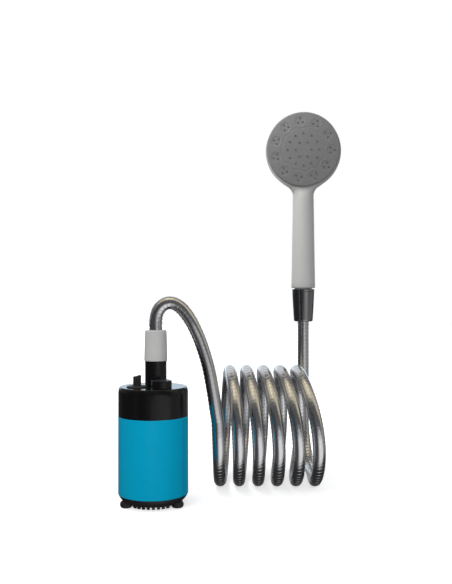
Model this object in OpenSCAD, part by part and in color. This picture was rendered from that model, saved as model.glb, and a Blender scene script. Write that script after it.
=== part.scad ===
// Portable camp shower set: a battery pump that stands in a bucket of water,
// a ribbed steel shower hose with its coil, and a hand shower on the hose's end.
// Millimetres. The origin is on the floor under the pump's axis, +Z is up and
// the front looks along -Y.

/* [Battery and motor] */
// Diameter of a battery cell
cell_d = 18.4; // [16:0.2:20]
// Length of a battery cell
cell_l = 65; // [60:0.5:72]
// Diameter of the motor can
motor_d = 24.4; // [22:0.2:27]
// Length of the motor can
motor_l = 32; // [28:0.5:38]
// Diameter of the motor shaft
shaft_d = 3; // [2:0.1:4]
// Sheet thickness of the motor can
can_t = 1; // [0.8:0.1:1.4]
// Thickness of a motor magnet
magnet_t = 2.4; // [1.8:0.1:3]

/* [Pump wheel and chamber] */
// Diameter of the pump wheel
impeller_d = 30; // [24:0.5:32]
// Height of the pump wheel
impeller_h = 6; // [5:0.2:8]
// Number of vanes on the pump wheel
vane_count = 6; // [4:1:9]
// Free space between the wheel's rim and the chamber wall
volute_gap = 3; // [2:0.2:4]
// Wall of the pump chamber
volute_wall = 2; // [1.6:0.1:2.6]
// Roof of the pump chamber, under the motor
volute_roof = 2.2; // [2:0.1:3]
// Outside diameter of the riser tube inside the pump
tube_d = 9; // [8:0.2:10]
// Wall of the riser tube inside the pump
tube_wall = 1.2; // [1:0.1:1.6]
// Direction of the riser tube, seen from above
tube_angle = 52; // [46:1:56]

/* [Housing, cap and base] */
// Wall of the housing, the cap and the base
wall = 2.4; // [2:0.1:3]
// Length of the spigots that locate the cap and the base in the housing
spigot_l = 5; // [4.4:0.2:7]
// Height of the black cap
cap_h = 29; // [27:0.5:36]
// Thickness of the cap's roof
cap_roof = 3; // [2.6:0.1:4]
// Height of the rounding on the cap's upper edge
cap_edge_h = 7; // [3:0.5:9]
// How far the cap's upper edge is drawn in
cap_edge_in = 1.9; // [1:0.1:2.6]
// Thickness of the sealing rings of cap and base
seal_d = 1.8; // [1.4:0.1:2]
// Height of the intake space under the base's floor
intake_h = 3.6; // [3:0.1:5]
// Thickness of the base's floor
floor_t = 2; // [1.6:0.1:2.6]
// How far the toothed skirt stands in from the pump's side
skirt_inset = 9; // [8:0.5:10]
// How far the base's lower edge is drawn in
base_taper = 6; // [5:0.5:7]
// Number of intake slots in the skirt
slot_count = 32; // [24:1:40]
// Width of an intake slot
slot_w = 2; // [1.4:0.1:2.6]
// Diameter of the intake eye in the base's floor
eye_d = 12; // [8:0.5:14]
// Diameter of a rubber foot
foot_d = 12.6; // [11:0.2:14]
// Height of a rubber foot below its seat
foot_h = 6.4; // [5.6:0.2:7.4]
// How far a foot's axis stands in from the pump's side
foot_inset = 6; // [5.5:0.1:6.5]

/* [Fittings on the cap] */
// Sideways place of the outlet neck
neck_x = 2; // [0:0.5:4]
// Front to back place of the outlet neck
neck_y = 6; // [5:0.5:8]
// Diameter of the outlet neck
neck_d = 21.8; // [21:0.2:23]
// Height of the outlet neck above the cap
neck_h = 25; // [18:0.5:32]
// Diameter of the switch collar
collar_d = 20; // [18:0.5:21]
// Height of the switch collar above the cap
collar_h = 8; // [7.4:0.2:11]
// Diameter of the power button
button_d = 14.8; // [13:0.2:15.4]
// Travel of the power button
button_travel = 1.5; // [0.8:0.1:1.8]
// Diameter of the charge plug's flange
plug_d = 21; // [18:0.5:22]
// Thickness of the charge plug's flange
plug_flange_t = 2.8; // [2:0.2:4]
// Height of the charge plug's pull tab above its flange
tab_h = 9.4; // [7:0.2:13]
// Width of the charge plug's pull tab
tab_w = 8; // [6:0.2:10]
// Diameter of the charge plug's stem in the cap
stem_d = 10.6; // [9.4:0.2:12]
// Height of the charge socket on the board
jack_h = 8; // [7.6:0.1:9.6]
// Thickness of the control board
board_t = 1.6; // [1:0.1:2]

/* [Hose and its nuts] */
// Outside diameter of the hose
hose_d = 13.4; // [12.4:0.1:13.8]
// Bore of the hose
hose_bore = 9.6; // [8.4:0.1:9.8]
// Depth of a rib on the hose
rib_depth = 0.5; // [0.3:0.1:0.6]
// Distance from rib to rib
rib_pitch = 13; // [12.6:0.2:18]
// Diameter of the coil, between centres of the hose
coil_d = 118.6; // [112:0.2:124]
// Distance from turn to turn along the coil
coil_pitch = 20.4; // [19:0.1:23]
// Outside diameter of the hose threads, the common half inch pipe size
thread_d = 20.955; // [20.955:0.001:20.955]
// Length of thread inside a nut
thread_l = 10; // [8:0.2:11]
// Thickness of a hose washer
washer_t = 2; // [1.5:0.1:3]
// Thickness of a hose tail's flange
flange_t = 2; // [1.6:0.1:2.6]
// Wall of a hose tail's sleeve
sleeve_t = 1.1; // [0.8:0.1:1.2]
// Height of the plastic nut on the pump
nut_h = 31; // [27:0.5:36]
// Diameter of the plastic nut at its lower edge
nut_d = 23.6; // [23:0.1:25]
// How much slimmer the plastic nut is at its upper edge
nut_taper = 1.8; // [0.6:0.1:2.4]

/* [Hand shower] */
// Height of the lower edge of the metal cone nut over the floor
cone_z = 177; // [170:1:190]
// Height of the metal cone nut
cone_h = 38.6; // [34:0.2:44]
// Diameter of the cone nut at its upper edge
cone_d = 27.2; // [26:0.1:28.4]
// Diameter of the cone nut at its lower edge
cone_tip_d = 22.4; // [20.4:0.1:24]
// Free space between the cone nut and the handle
handle_gap = 1.2; // [0.6:0.1:2]
// Diameter of the handle at its lower end
handle_d = 28.4; // [27:0.2:31]
// Diameter of the handle at its upper end
handle_top_d = 24.9; // [24:0.1:27]
// Length of the handle up to the flare under the head
handle_l = 110; // [100:1:120]
// Diameter of the water way in the handle
handle_bore = 12; // [9:0.5:13]
// Diameter of the spray face
face_d = 86.4; // [80:0.2:94]
// Height of the middle of the spray face over the handle's lower end
face_rise = 162; // [159:0.5:166]
// Distance of the spray face in front of the handle's axis
face_reach = 22; // [21:0.5:24]
// Downward tilt of the spray face
face_tilt = 10.5; // [8:0.5:13]
// Turn of the hand shower about its handle
handset_yaw = -5.8; // [-20:0.2:20]
// Thickness of the spray face
face_t = 4; // [3:0.2:5]
// Depth of the head, front to back
head_depth = 22; // [20.5:0.5:25]
// Wall of the hand shower's shell
shell_t = 2.6; // [2.2:0.1:3]
// Diameter of a spray nozzle
nozzle_d = 2.5; // [1.8:0.1:2.7]
// Number of three-jet groups on the spray face's outer ring
group_count = 11; // [8:1:12]

/* [Hidden] */
$fn = 64;

// Named clearances
fit = 0.2;          // moulded pieces that slip together
press = 0.02;       // pieces pressed on a shaft or in a seat
running = 0.05;     // shaft in its bushes
turning = 0.3;      // pieces that turn or slide past each other
air_gap = 0.5;      // armature inside its magnets
wheel_gap = 0.6;    // pump wheel above the floor and below the roof
core_gap = 1.1;     // motor between the battery cells
cell_side = 0.9;    // cell to housing
stack_gap = 1.2;    // cradle over the pump chamber
skirt_clear = 0.6;  // toothed skirt over the floor
cut = 1;            // overshoot of a cutting shape

// Radii that many pieces share
cell_r = cell_d / 2;
motor_r = motor_d / 2;
shaft_r = shaft_d / 2;
bore_r = motor_r + core_gap + cell_d + cell_side;
body_r = bore_r + wall;
spigot_r = bore_r - fit;
spigot_in_r = spigot_r - wall;
cell_x = motor_r + core_gap + cell_r;
seal_r = seal_d / 2;
seal_ring_r = bore_r - seal_r - running;

// Heights, from the floor up
floor_top = intake_h + floor_t;
wheel_z = floor_top + wheel_gap;
roof_z = wheel_z + impeller_h + wheel_gap;
motor_z = roof_z + volute_roof;
motor_top = motor_z + motor_l;
cradle_z = motor_z + stack_gap;
base_top = cradle_z - spigot_l;
cradle_plate = 2.2;
cell_seat = 1.2;
cell_z = cradle_z + cell_seat;
cell_top = cell_z + cell_l;
cradle_top = cell_top + cell_seat;
housing_top = cradle_top + spigot_l;
cap_top = housing_top + cap_h;
roof_under = cap_top - cap_roof;
board_top = roof_under - jack_h;
board_z = board_top - board_t;

// Base
skirt_r = body_r - skirt_inset;
skirt_t = 2;
slot_land = 0.4;
base_low_r = body_r - base_taper;
base_swell = 0.8;
foot_r = foot_d / 2;
foot_pcr = body_r - foot_inset;
foot_angles = [-30, 90, 210];
foot_clear = 0.8;
foot_wall = 1.2;
foot_seat_t = 2;
foot_stem_r = 2.2;
foot_head_r = 3;
foot_head_h = 1.2;
foot_lip = 1.2;
foot_swell = 2.9;
foot_arc = 70;

// Pump chamber
impeller_r = impeller_d / 2;
chamber_r = impeller_r + volute_gap;
volute_r = chamber_r + volute_wall;
tube_r = tube_d / 2;
socket_r = tube_r + fit + volute_wall;
tube_pcr = volute_r + tube_r - 5;
tube_xy = tube_pcr * [cos(tube_angle), sin(tube_angle)];
channel_r = tube_r - tube_wall - 0.6;
channel_z = floor_top + channel_r + 0.6;
tube_z = roof_z + 0.8;
screw_r = 1.3;
screw_head_r = 2.3;
screw_head_h = 1.2;
lug_r = 3.2;
lug_pcr = volute_r + 1.4;
lug_angles = [for (a = foot_angles) a + 60];
motor_screw_pcr = 8;
seal_seat_r = 4.2;
seal_seat_h = 1.6;
hub_r = 4.2;
vane_t = 1.4;
wheel_disc_t = 1.4;
vane_bend_r = impeller_r * 0.77;
vane_sweep = 78;

// Motor
bush_r = 3;
bush_h = 4;
front_t = 1.5;
end_cap_h = 3;
armature_r = motor_r - can_t - magnet_t - air_gap;
armature_rise = 7;
top_space = 10;
armature_z = motor_z + armature_rise;
armature_h = motor_l - armature_rise - top_space;
commutator_h = 5;

// Fittings on the cap
neck_r = neck_d / 2;
neck_xy = [neck_x, neck_y];
neck_top = cap_top + neck_h;
neck_tail_r = 7;
neck_tail_out = 14;
tail_socket = 6;
neck_tail_l = cap_roof + neck_tail_out;
lock_r = 10.6;
lock_h = 3;
collar_r = collar_d / 2;
collar_gap = 3.2;
collar_dir = -71;
collar_xy = neck_xy + (neck_r + collar_gap + collar_r) * [cos(collar_dir), sin(collar_dir)];
collar_floor = 1.6;
button_r = button_d / 2;
button_low = 0.2;
button_seal_t = 1;
button_z = cap_top + collar_floor + button_seal_t + button_travel + turning;
button_stem_r = 2.6;
plug_r = plug_d / 2;
plug_gap = 1.4;
plug_dir = 221;
plug_xy = neck_xy + (neck_r + plug_gap + plug_r) * [cos(plug_dir), sin(plug_dir)];
tab_t = 3.2;
tab_step = 1.2;
stem_r = stem_d / 2;
jack_r = 4.6;
jack_bore_r = 2.8;
jack_bore_h = 6;
post_r = 2.6;
post_pcr = spigot_in_r - 4.6;
post_angles = [12, 152, 264];
board_r = spigot_in_r - 1.4;
board_screw_r = 1;
board_head_r = 1.9;
board_head_h = 1.2;
switch_size = 6;
plunger_r = 1.7;
plunger_h = 1;
switch_top = board_top + 4.2;

// Hose ends, the same at the pump and at the hand shower
hose_r = hose_d / 2;
thread_r = thread_d / 2;
washer_r = 9.2;
water_r = 5;
sleeve_r = hose_r + press + sleeve_t;
tail_lip = 1;
pump_tail_z = neck_top + thread_l + washer_t;
pump_sleeve_l = nut_h - thread_l - washer_t - flange_t - tail_lip;
hose_z0 = pump_tail_z + flange_t;
nut_top = neck_top + nut_h;
cone_top = cone_z + cone_h;
handset_z = cone_top + handle_gap;
thread_end = handset_z - handle_gap - thread_l;
handset_tail_z = thread_end - washer_t;
handset_sleeve_l = handset_tail_z - flange_t - cone_z - tail_lip;
hose_z1 = handset_tail_z - flange_t;

// The hose's route: up from the pump, over and down, round the coil, and up again
coil_r = coil_d / 2;
coil_x0 = 67.5;
coil_y0 = 73.6;
coil_from = -0.25;
coil_to = 5;
top_lean = [0.7, -1.95];
front_swell = [2.4, 1];
back_swell = [-0.5, 2.5];
riser_xy = [165.5, 147];
arch_middle = [[2, 6, 184], [3.5, 6, 191.5], [7.5, 6, 197.5], [13.5, 6, 201], [20.5, 6.5, 200.5],
    [28, 7, 195.5], [34.5, 7.5, 187.5], [40, 8, 178], [47, 9.5, 162], [54.5, 11, 138],
    [59.5, 12.5, 112], [62.5, 13.5, 92]];
riser_middle = [[170.5, 98, 0.4], [169.5, 117, 4], [168, 132.5, 14.5], [166.5, 143, 31],
    [165.5, 147, 50], [165.5, 147, 75], [165.5, 147, 105], [165.5, 147, 140]];
hose_sides = 8;
bore_rings_per_turn = 24;
bore_ring_step = 16;

// Hand shower
face_r = face_d / 2;
rim_in = 0.5;
rim_w = 7;
handset_yaw_axis = [riser_xy.x, riser_xy.y, handset_z];
handle_sides = 28;
flare_l = 34;
flare_w = 30;
flare_depth = 5.5;
flare_shift = -5;
flare_cap = 4;
mat_t = 2;
disc_t = 2;
disc_ledge = 3;
disc_hole_r = 2;
jet_stand = 0.8;
jet_hole = 0.2;
group_ring = 0.76;
group_turn = 10;
group_spread = 3.4;
groove_ring = 0.6;
inner_rings = [[0.215, 6], [0.425, 12]];
groove_w = 0.9;
groove_t = 0.7;
face_edge = 1.4;

blue = [0, 0.55, 0.7];
black = [0.06, 0.06, 0.07];
soft_black = [0.1, 0.1, 0.11];
pale_grey = [0.68, 0.68, 0.67];
face_grey = [0.45, 0.45, 0.46];
steel = [0.6, 0.6, 0.62];
chrome = [0.75, 0.76, 0.78];
copper = [0.7, 0.42, 0.22];
brass = [0.75, 0.6, 0.3];
board_green = [0.05, 0.35, 0.2];
cell_green = [0.15, 0.5, 0.35];
white = [0.88, 0.88, 0.86];

function unit(v) = v / norm(v);
function last(list) = list[len(list) - 1];
function smooth(u) = let (c = min(max(u, 0), 1)) c * c * (3 - 2 * c);
function polar(r, a) = r * [cos(a), sin(a)];

// Cubic curve through hand-chosen points, k steps to a span
function through(a, b, c, d, u) =
    0.5 * (2 * b + (c - a) * u + (2 * a - 5 * b + 4 * c - d) * u * u + (3 * b - 3 * c + d - a) * u * u * u);
function curve(p, k) = concat([for (i = [0 : len(p) - 2], s = [0 : k - 1])
    through(p[max(i - 1, 0)], p[i], p[i + 1], p[min(i + 2, len(p) - 1)], s / k)], [last(p)]);

// Length along a path at each of its points, and n equal steps along that length
function lengths(p) =
    [for (i = 0, s = 0; i < len(p); s = s + norm(p[min(i + 1, len(p) - 1)] - p[i]), i = i + 1) s];
function steps(p, n) = let (s = lengths(p)) [for (k = [0 : n])
    [for (axis = [0 : 2]) lookup(last(s) * k / n, [for (i = [0 : len(p) - 1]) [s[i], p[i][axis]]])]];

// One ring of a tube's skin, square to the path at its point i; ends holds the directions at both ends
function ring_at(p, i, r, side, ends) = let (
    along = i == 0 ? ends[0] : i == len(p) - 1 ? ends[1] : unit(p[i + 1] - p[i - 1]),
    u = unit(side - (side * along) * along),
    v = cross(along, u))
    [for (j = [0 : hose_sides - 1]) p[i] + r * (polar(1, 360 * j / hose_sides) * [u, v])];

// Triangles between neighbouring rings of n points, closed from the last ring to the first on request
function skin_faces(m, n, closed) = [for (i = [0 : m - (closed ? 1 : 2)], j = [0 : n - 1]) let (
    a = i * n + j,
    b = i * n + (j + 1) % n,
    c = ((i + 1) % m) * n + (j + 1) % n,
    d = ((i + 1) % m) * n + j) each [[a, d, c], [a, c, b]]];

// The coil: a turn for each whole t, t = 0 at the bottom, a quarter at the back and a half at the top.
// The turns lean over as they go, and their sides swell along the coil's axis.
function coil_x(t) = let (swell = sin(360 * t) > 0 ? back_swell : front_swell)
    coil_x0 + coil_pitch * t + (1 - cos(360 * t)) / 2 * (top_lean[0] + top_lean[1] * t)
    + pow(sin(360 * t), 2) * (swell[0] + swell[1] * t);
function coil_at(t) = [coil_x(t), coil_y0 + coil_r * sin(360 * t), hose_r + coil_r * (1 - cos(360 * t))];
function coil_dir(t) = unit(coil_at(t + 0.0005) - coil_at(t - 0.0005));

coil_in = coil_at(coil_from) - hose_d * coil_dir(coil_from);
coil_out = coil_at(coil_to) + hose_d * coil_dir(coil_to);
coil_path = concat([coil_in], [for (t = [coil_from : 1 / 96 : coil_to]) coil_at(t)], [coil_out]);
arch_path = concat([[neck_x, neck_y, hose_z0]],
    curve(concat([[neck_x, neck_y, nut_top]], arch_middle, [coil_in]), 12));
riser_path = concat(curve(concat([coil_out], [for (p = riser_middle) p + [0, 0, hose_r]],
    [[riser_xy.x, riser_xy.y, cone_z]]), 12), [[riser_xy.x, riser_xy.y, hose_z1]]);

// Least free space between two stretches of the coil that are not neighbours along the hose
gap_points = steps(coil_path, round(bore_rings_per_turn * (coil_to - coil_from)));
gap_skip = bore_rings_per_turn / 3;
coil_gap = min([for (i = [0 : len(gap_points) - 1], j = [i + gap_skip : len(gap_points) - 1])
    norm(gap_points[i] - gap_points[j])]) - hose_d;
echo(least_gap_between_turns_of_the_hose = coil_gap);
echo(hose_length = last(lengths(arch_path)) + last(lengths(coil_path)) + last(lengths(riser_path)));

// Ribbed tube with its bore along a path; side is a direction that the path never takes
module ribbed_hose(path, side, ends, bore_rings) {
    ribs = round(last(lengths(path)) / rib_pitch);
    outer = steps(path, 2 * ribs);
    inner = steps(path, bore_rings);
    rings = concat(
        [for (i = [0 : 2 * ribs]) ring_at(outer, i, hose_r - (i % 2) * rib_depth, side, ends)],
        [for (i = [bore_rings : -1 : 0]) ring_at(inner, i, hose_bore / 2, side, ends)]);
    polyhedron(points = [for (r = rings) each r], faces = skin_faces(len(rings), hose_sides, true));
}

module tube(r_out, r_in, h) {
    difference() {
        cylinder(r = r_out, h = h);
        translate([0, 0, -cut]) cylinder(r = r_in, h = h + 2 * cut);
    }
}

module torus(ring_r, r) {
    rotate_extrude() translate([ring_r, 0]) circle(r = r);
}

module at_polar(r, angles) {
    for (a = angles) rotate(a) translate([r, 0, 0]) children();
}

module at_feet() {
    at_polar(foot_pcr, foot_angles) children();
}

// Groove for a sealing ring in the middle of a spigot that starts at height z
module seal_groove(z) {
    translate([0, 0, z + spigot_l / 2 - seal_r - running])
        tube(bore_r, seal_ring_r - seal_r - running, seal_d + 2 * running);
}

module sealing_ring(z) {
    translate([0, 0, z + spigot_l / 2]) torus(seal_ring_r, seal_r);
}

// Countersunk screw, head down, with its head's flat face at height 0
module screw(r, head_r, head_h, h) {
    cylinder(r1 = head_r, r2 = r, h = head_h);
    cylinder(r = r, h = h);
}

module rubber_feet() {
    color(soft_black) at_feet() rotate_extrude() polygon(concat(
        [[0, foot_lip]], [[foot_r - foot_swell * (1 - cos(foot_arc)) - foot_lip, 0]],
        [for (a = [-foot_arc : 14 : foot_arc])
            [foot_r - foot_swell * (1 - cos(a)), foot_h / 2 * (1 + sin(a) / sin(foot_arc))]],
        [[foot_stem_r, foot_h], [foot_stem_r, foot_h + foot_seat_t + running],
            [foot_head_r, foot_h + foot_seat_t + running],
            [foot_stem_r, foot_h + foot_seat_t + foot_head_h], [0, foot_h + foot_seat_t + foot_head_h]]));
}

// Outline of the bowl under the housing, from its lower edge to its top
function bowl(inset) = [for (u = [0 : 0.2 : 1])
    [base_low_r + u * base_taper + base_swell * sin(180 * u) - inset, intake_h + u * (base_top - intake_h)]];

module base_strainer() {
    inside = bowl(wall);
    color(black) difference() {
        union() {
            rotate_extrude() polygon(concat(
                [[skirt_r - skirt_t, intake_h], [skirt_r - skirt_t, skirt_clear], [skirt_r, skirt_clear],
                    [skirt_r, intake_h]], bowl(0),
                [[spigot_r, base_top], [spigot_r, cradle_z], [spigot_in_r, cradle_z],
                    [spigot_in_r, base_top]],
                [for (i = [len(inside) - 2 : -1 : 0]) if (inside[i].y > floor_top) inside[i]],
                [[base_low_r - wall, floor_top], [eye_d / 2, floor_top], [eye_d / 2, intake_h]]));
            intersection() {
                at_feet() translate([0, 0, intake_h])
                    cylinder(r = foot_r + foot_clear + foot_wall, h = foot_h + foot_seat_t - intake_h);
                rotate_extrude() polygon(concat([[0, intake_h]], bowl(0), [[0, base_top]]));
            }
        }
        at_feet() {
            translate([0, 0, -cut]) cylinder(r = foot_r + foot_clear, h = foot_h + cut);
            cylinder(r = foot_stem_r + running, h = foot_h + foot_seat_t + cut);
            translate([0, 0, foot_h + foot_seat_t]) cylinder(r = foot_head_r + fit, h = foot_head_h + fit);
        }
        at_polar(skirt_r - skirt_t / 2, [for (i = [0 : slot_count - 1]) 360 * i / slot_count])
            translate([-skirt_t, -slot_w / 2, 0]) cube([2 * skirt_t, slot_w, intake_h - slot_land]);
        at_polar(lug_pcr, lug_angles) translate([0, 0, intake_h])
            screw(screw_r + fit, screw_head_r + fit, screw_head_h, floor_t + cut);
        seal_groove(base_top);
    }
}

module base_seal() {
    color(soft_black) sealing_ring(base_top);
}

module volute() {
    color(white) difference() {
        union() {
            translate([0, 0, floor_top]) cylinder(r = volute_r, h = motor_z - floor_top);
            translate([tube_xy.x, tube_xy.y, floor_top])
                cylinder(r = socket_r, h = cradle_z - fit - floor_top);
            at_polar(lug_pcr, lug_angles) translate([0, 0, floor_top])
                cylinder(r = lug_r, h = impeller_h);
        }
        translate([0, 0, floor_top - cut]) cylinder(r = chamber_r, h = roof_z - floor_top + cut);
        translate([0, 0, floor_top]) cylinder(r = shaft_r + turning, h = motor_z);
        translate([0, 0, motor_z - seal_seat_h]) cylinder(r = seal_seat_r, h = seal_seat_h + cut);
        translate([tube_xy.x, tube_xy.y, tube_z]) cylinder(r = tube_r + fit / 2, h = motor_z);
        translate([tube_xy.x, tube_xy.y, channel_z]) cylinder(r = channel_r, h = motor_z);
        rotate(tube_angle) translate([chamber_r - volute_wall, 0, channel_z]) rotate([0, 90, 0])
            cylinder(r = channel_r - fit, h = tube_pcr - chamber_r + volute_wall);
        at_polar(motor_screw_pcr, [0, 180]) translate([0, 0, roof_z])
            screw(screw_r + fit, screw_head_r + fit, screw_head_h, volute_roof + cut);
        at_polar(lug_pcr, lug_angles) translate([0, 0, floor_top - cut])
            cylinder(r = screw_r + press, h = impeller_h - 1 + cut);
    }
}

module volute_screws() {
    color(steel) at_polar(lug_pcr, lug_angles) translate([0, 0, intake_h])
        screw(screw_r, screw_head_r, screw_head_h, floor_t + impeller_h - 2);
}

module shaft_seal() {
    color(soft_black) translate([0, 0, motor_z - seal_seat_h])
        tube(seal_seat_r - press, shaft_r + running, seal_seat_h);
}

module impeller() {
    color(white) translate([0, 0, wheel_z]) difference() {
        union() {
            cylinder(r = hub_r, h = impeller_h);
            translate([0, 0, impeller_h - wheel_disc_t]) cylinder(r = impeller_r, h = wheel_disc_t);
            for (i = [0 : vane_count - 1]) rotate(360 * i / vane_count) translate([0, vane_bend_r, 0])
                rotate(-90) rotate_extrude(angle = vane_sweep) translate([vane_bend_r - vane_t / 2, 0])
                    square([vane_t, impeller_h - wheel_disc_t / 2]);
        }
        translate([0, 0, -cut]) cylinder(r = shaft_r + press, h = impeller_h + 2 * cut);
    }
}

module motor_shaft() {
    color(steel) translate([0, 0, wheel_z]) cylinder(r = shaft_r, h = motor_top - wheel_z + 1);
}

// Three-pole armature with its commutator
module armature() {
    shoe_t = 1.8;
    web_w = 4;
    core_r = 3.6;
    color(copper) translate([0, 0, armature_z]) difference() {
        union() {
            cylinder(r = core_r, h = armature_h + commutator_h);
            for (a = [0, 120, 240]) rotate(a) {
                translate([0, -web_w / 2, 0]) cube([armature_r - shoe_t / 2, web_w, armature_h]);
                rotate(-48) rotate_extrude(angle = 96) translate([armature_r - shoe_t, 0])
                    square([shoe_t, armature_h]);
            }
        }
        translate([0, 0, -cut]) cylinder(r = shaft_r + press, h = armature_h + commutator_h + 2 * cut);
    }
}

module motor_can() {
    color(steel) translate([0, 0, motor_z]) difference() {
        cylinder(r = motor_r, h = motor_l);
        translate([0, 0, front_t]) cylinder(r = motor_r - can_t, h = motor_l);
        translate([0, 0, -cut]) cylinder(r = bush_r + press, h = motor_l);
        at_polar(motor_screw_pcr, [0, 180]) translate([0, 0, -cut])
            cylinder(r = screw_r + press, h = motor_l);
    }
}

module motor_magnets() {
    r = motor_r - can_t - press;
    color(soft_black) for (a = [20, 200]) rotate(a) translate([0, 0, armature_z - 1])
        rotate_extrude(angle = 140) translate([r - magnet_t, 0]) square([magnet_t, armature_h + 2]);
}

module motor_bushes() {
    color(brass) {
        translate([0, 0, motor_z]) tube(bush_r, shaft_r + running, bush_h);
        translate([0, 0, motor_top - bush_h]) tube(bush_r, shaft_r + running, bush_h);
    }
}

module motor_end_cap() {
    color(soft_black) translate([0, 0, motor_top - end_cap_h])
        tube(motor_r - can_t - press, bush_r + press, end_cap_h);
}

module motor_screws() {
    color(steel) at_polar(motor_screw_pcr, [0, 180]) translate([0, 0, roof_z])
        screw(screw_r, screw_head_r, screw_head_h, volute_roof + front_t + 1);
}

module at_cells() {
    for (x = [-cell_x, cell_x]) translate([x, 0, 0]) children();
}

// Two end plates with pockets for the cells, joined by a front web and a rear pillar
module battery_cradle() {
    web_t = 2;
    web_w = 20;
    web_y = -(motor_r + 2 * core_gap + web_t);
    pillar_r = 2.2;
    pillar_xy = [-9, motor_r + core_gap + pillar_r];
    span = cradle_top - cradle_z;
    color(soft_black) difference() {
        union() {
            translate([0, 0, cradle_z]) cylinder(r = spigot_r, h = cradle_plate);
            translate([0, 0, cradle_top - cradle_plate]) cylinder(r = spigot_r, h = cradle_plate);
            translate([-web_w / 2, web_y, cradle_z]) cube([web_w, web_t, span]);
            translate([pillar_xy.x, pillar_xy.y, cradle_z]) cylinder(r = pillar_r, h = span);
        }
        at_cells() translate([0, 0, cell_z]) cylinder(r = cell_r + fit, h = cell_l);
        translate([0, 0, cradle_z - cut]) cylinder(r = motor_r + turning, h = cradle_plate + 2 * cut);
        translate([tube_xy.x, tube_xy.y, cradle_z - cut])
            cylinder(r = tube_r + turning, h = cradle_plate + 2 * cut);
        translate([neck_x, neck_y, cradle_top - cradle_plate - cut])
            cylinder(r = tube_r + turning, h = cradle_plate + 2 * cut);
    }
}

module battery_cells() {
    color(cell_green) at_cells() translate([0, 0, cell_z]) cylinder(r = cell_r, h = cell_l);
}

// Metal strip over the cradle's upper plate that joins the cells
module contact_strip() {
    strip_t = 0.4;
    strip_w = 7;
    color(brass) translate([-cell_x, -motor_r / 2 - strip_w, cradle_top])
        cube([2 * cell_x, strip_w, strip_t]);
}

// Water way from the pump chamber to the outlet: up, over in two quarter bends, and up again
// A bend's radius is half the way over, to a hundredth.
module riser_tube() {
    shift = neck_xy - tube_xy;
    bend_r = round(norm(shift) * 50) / 100;
    bend_rise = 6;
    bend_z = motor_top + bend_rise;
    tail_end = cap_top - neck_tail_l + tail_socket;
    module section() {
        difference() {
            circle(r = tube_r);
            circle(r = tube_r - tube_wall);
        }
    }
    color(white) translate([tube_xy.x, tube_xy.y, 0]) rotate(atan2(shift.y, shift.x)) {
        translate([0, 0, tube_z]) linear_extrude(bend_z - tube_z) section();
        translate([bend_r, 0, bend_z]) rotate([90, 0, 180]) rotate_extrude(angle = 90)
            translate([bend_r, 0]) section();
        translate([bend_r, 0, bend_z + 2 * bend_r]) rotate([-90, 0, 0]) rotate_extrude(angle = 90)
            translate([bend_r, 0]) section();
        translate([2 * bend_r, 0, bend_z + 2 * bend_r])
            linear_extrude(tail_end - bend_z - 2 * bend_r) section();
    }
}

module housing() {
    color(blue) translate([0, 0, base_top]) tube(body_r, bore_r, housing_top - base_top);
}

module cap_seal() {
    color(soft_black) sealing_ring(cradle_top);
}

module top_cap() {
    color(black) difference() {
        union() {
            rotate_extrude() polygon(concat(
                [[spigot_in_r, cradle_top], [spigot_r, cradle_top], [spigot_r, housing_top],
                    [body_r, housing_top]],
                [for (a = [0 : 6 : 90])
                    [body_r - cap_edge_in * (1 - cos(a)), cap_top - cap_edge_h * (1 - sin(a))]],
                [[0, cap_top], [0, roof_under], [spigot_in_r, roof_under]]));
            at_polar(post_pcr, post_angles) translate([0, 0, board_top])
                cylinder(r = post_r, h = roof_under - board_top + cut);
        }
        translate([neck_x, neck_y, board_top])
            cylinder(r = neck_tail_r + running, h = jack_h + cap_roof + cut);
        translate([collar_xy.x, collar_xy.y, board_top])
            cylinder(r = button_stem_r + turning, h = jack_h + cap_roof + cut);
        translate([plug_xy.x, plug_xy.y, board_top]) cylinder(r = stem_r + fit, h = jack_h + cap_roof + cut);
        at_polar(post_pcr, post_angles) translate([0, 0, board_top - cut])
            cylinder(r = board_screw_r + press, h = jack_h + cut);
        seal_groove(cradle_top);
    }
}

module control_board() {
    color(board_green) translate([0, 0, board_z]) difference() {
        cylinder(r = board_r, h = board_t);
        translate([neck_x, neck_y, -cut]) cylinder(r = neck_tail_r + 1, h = board_t + 2 * cut);
        at_polar(post_pcr, post_angles) translate([0, 0, -cut])
            cylinder(r = board_screw_r + fit, h = board_t + 2 * cut);
    }
}

module board_screws() {
    color(steel) at_polar(post_pcr, post_angles) translate([0, 0, board_z - board_head_h]) {
        cylinder(r = board_head_r, h = board_head_h);
        cylinder(r = board_screw_r, h = board_head_h + board_t + jack_h - 1);
    }
}

module switch_block() {
    color(soft_black) translate([collar_xy.x, collar_xy.y, board_top]) {
        translate([-switch_size / 2, -switch_size / 2, 0])
            cube([switch_size, switch_size, switch_top - plunger_h - board_top]);
        cylinder(r = plunger_r, h = switch_top - board_top);
    }
}

module charge_socket() {
    color(soft_black) translate([plug_xy.x, plug_xy.y, board_top]) difference() {
        cylinder(r = jack_r, h = jack_h);
        translate([0, 0, jack_h - jack_bore_h]) cylinder(r = jack_bore_r, h = jack_bore_h + cut);
    }
}

module switch_collar() {
    chamfer = 0.6;
    well_r = button_r + turning;
    hole_r = button_stem_r + turning;
    color(black) translate([collar_xy.x, collar_xy.y, cap_top]) rotate_extrude() polygon([[hole_r, 0],
        [collar_r, 0], [collar_r, collar_h - chamfer], [collar_r - chamfer, collar_h], [well_r, collar_h],
        [well_r, collar_floor], [hole_r, collar_floor]]);
}

module button_seal() {
    color(soft_black) translate([collar_xy.x, collar_xy.y, cap_top + collar_floor])
        tube(button_r - 1, button_stem_r + running, button_seal_t);
}

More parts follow.
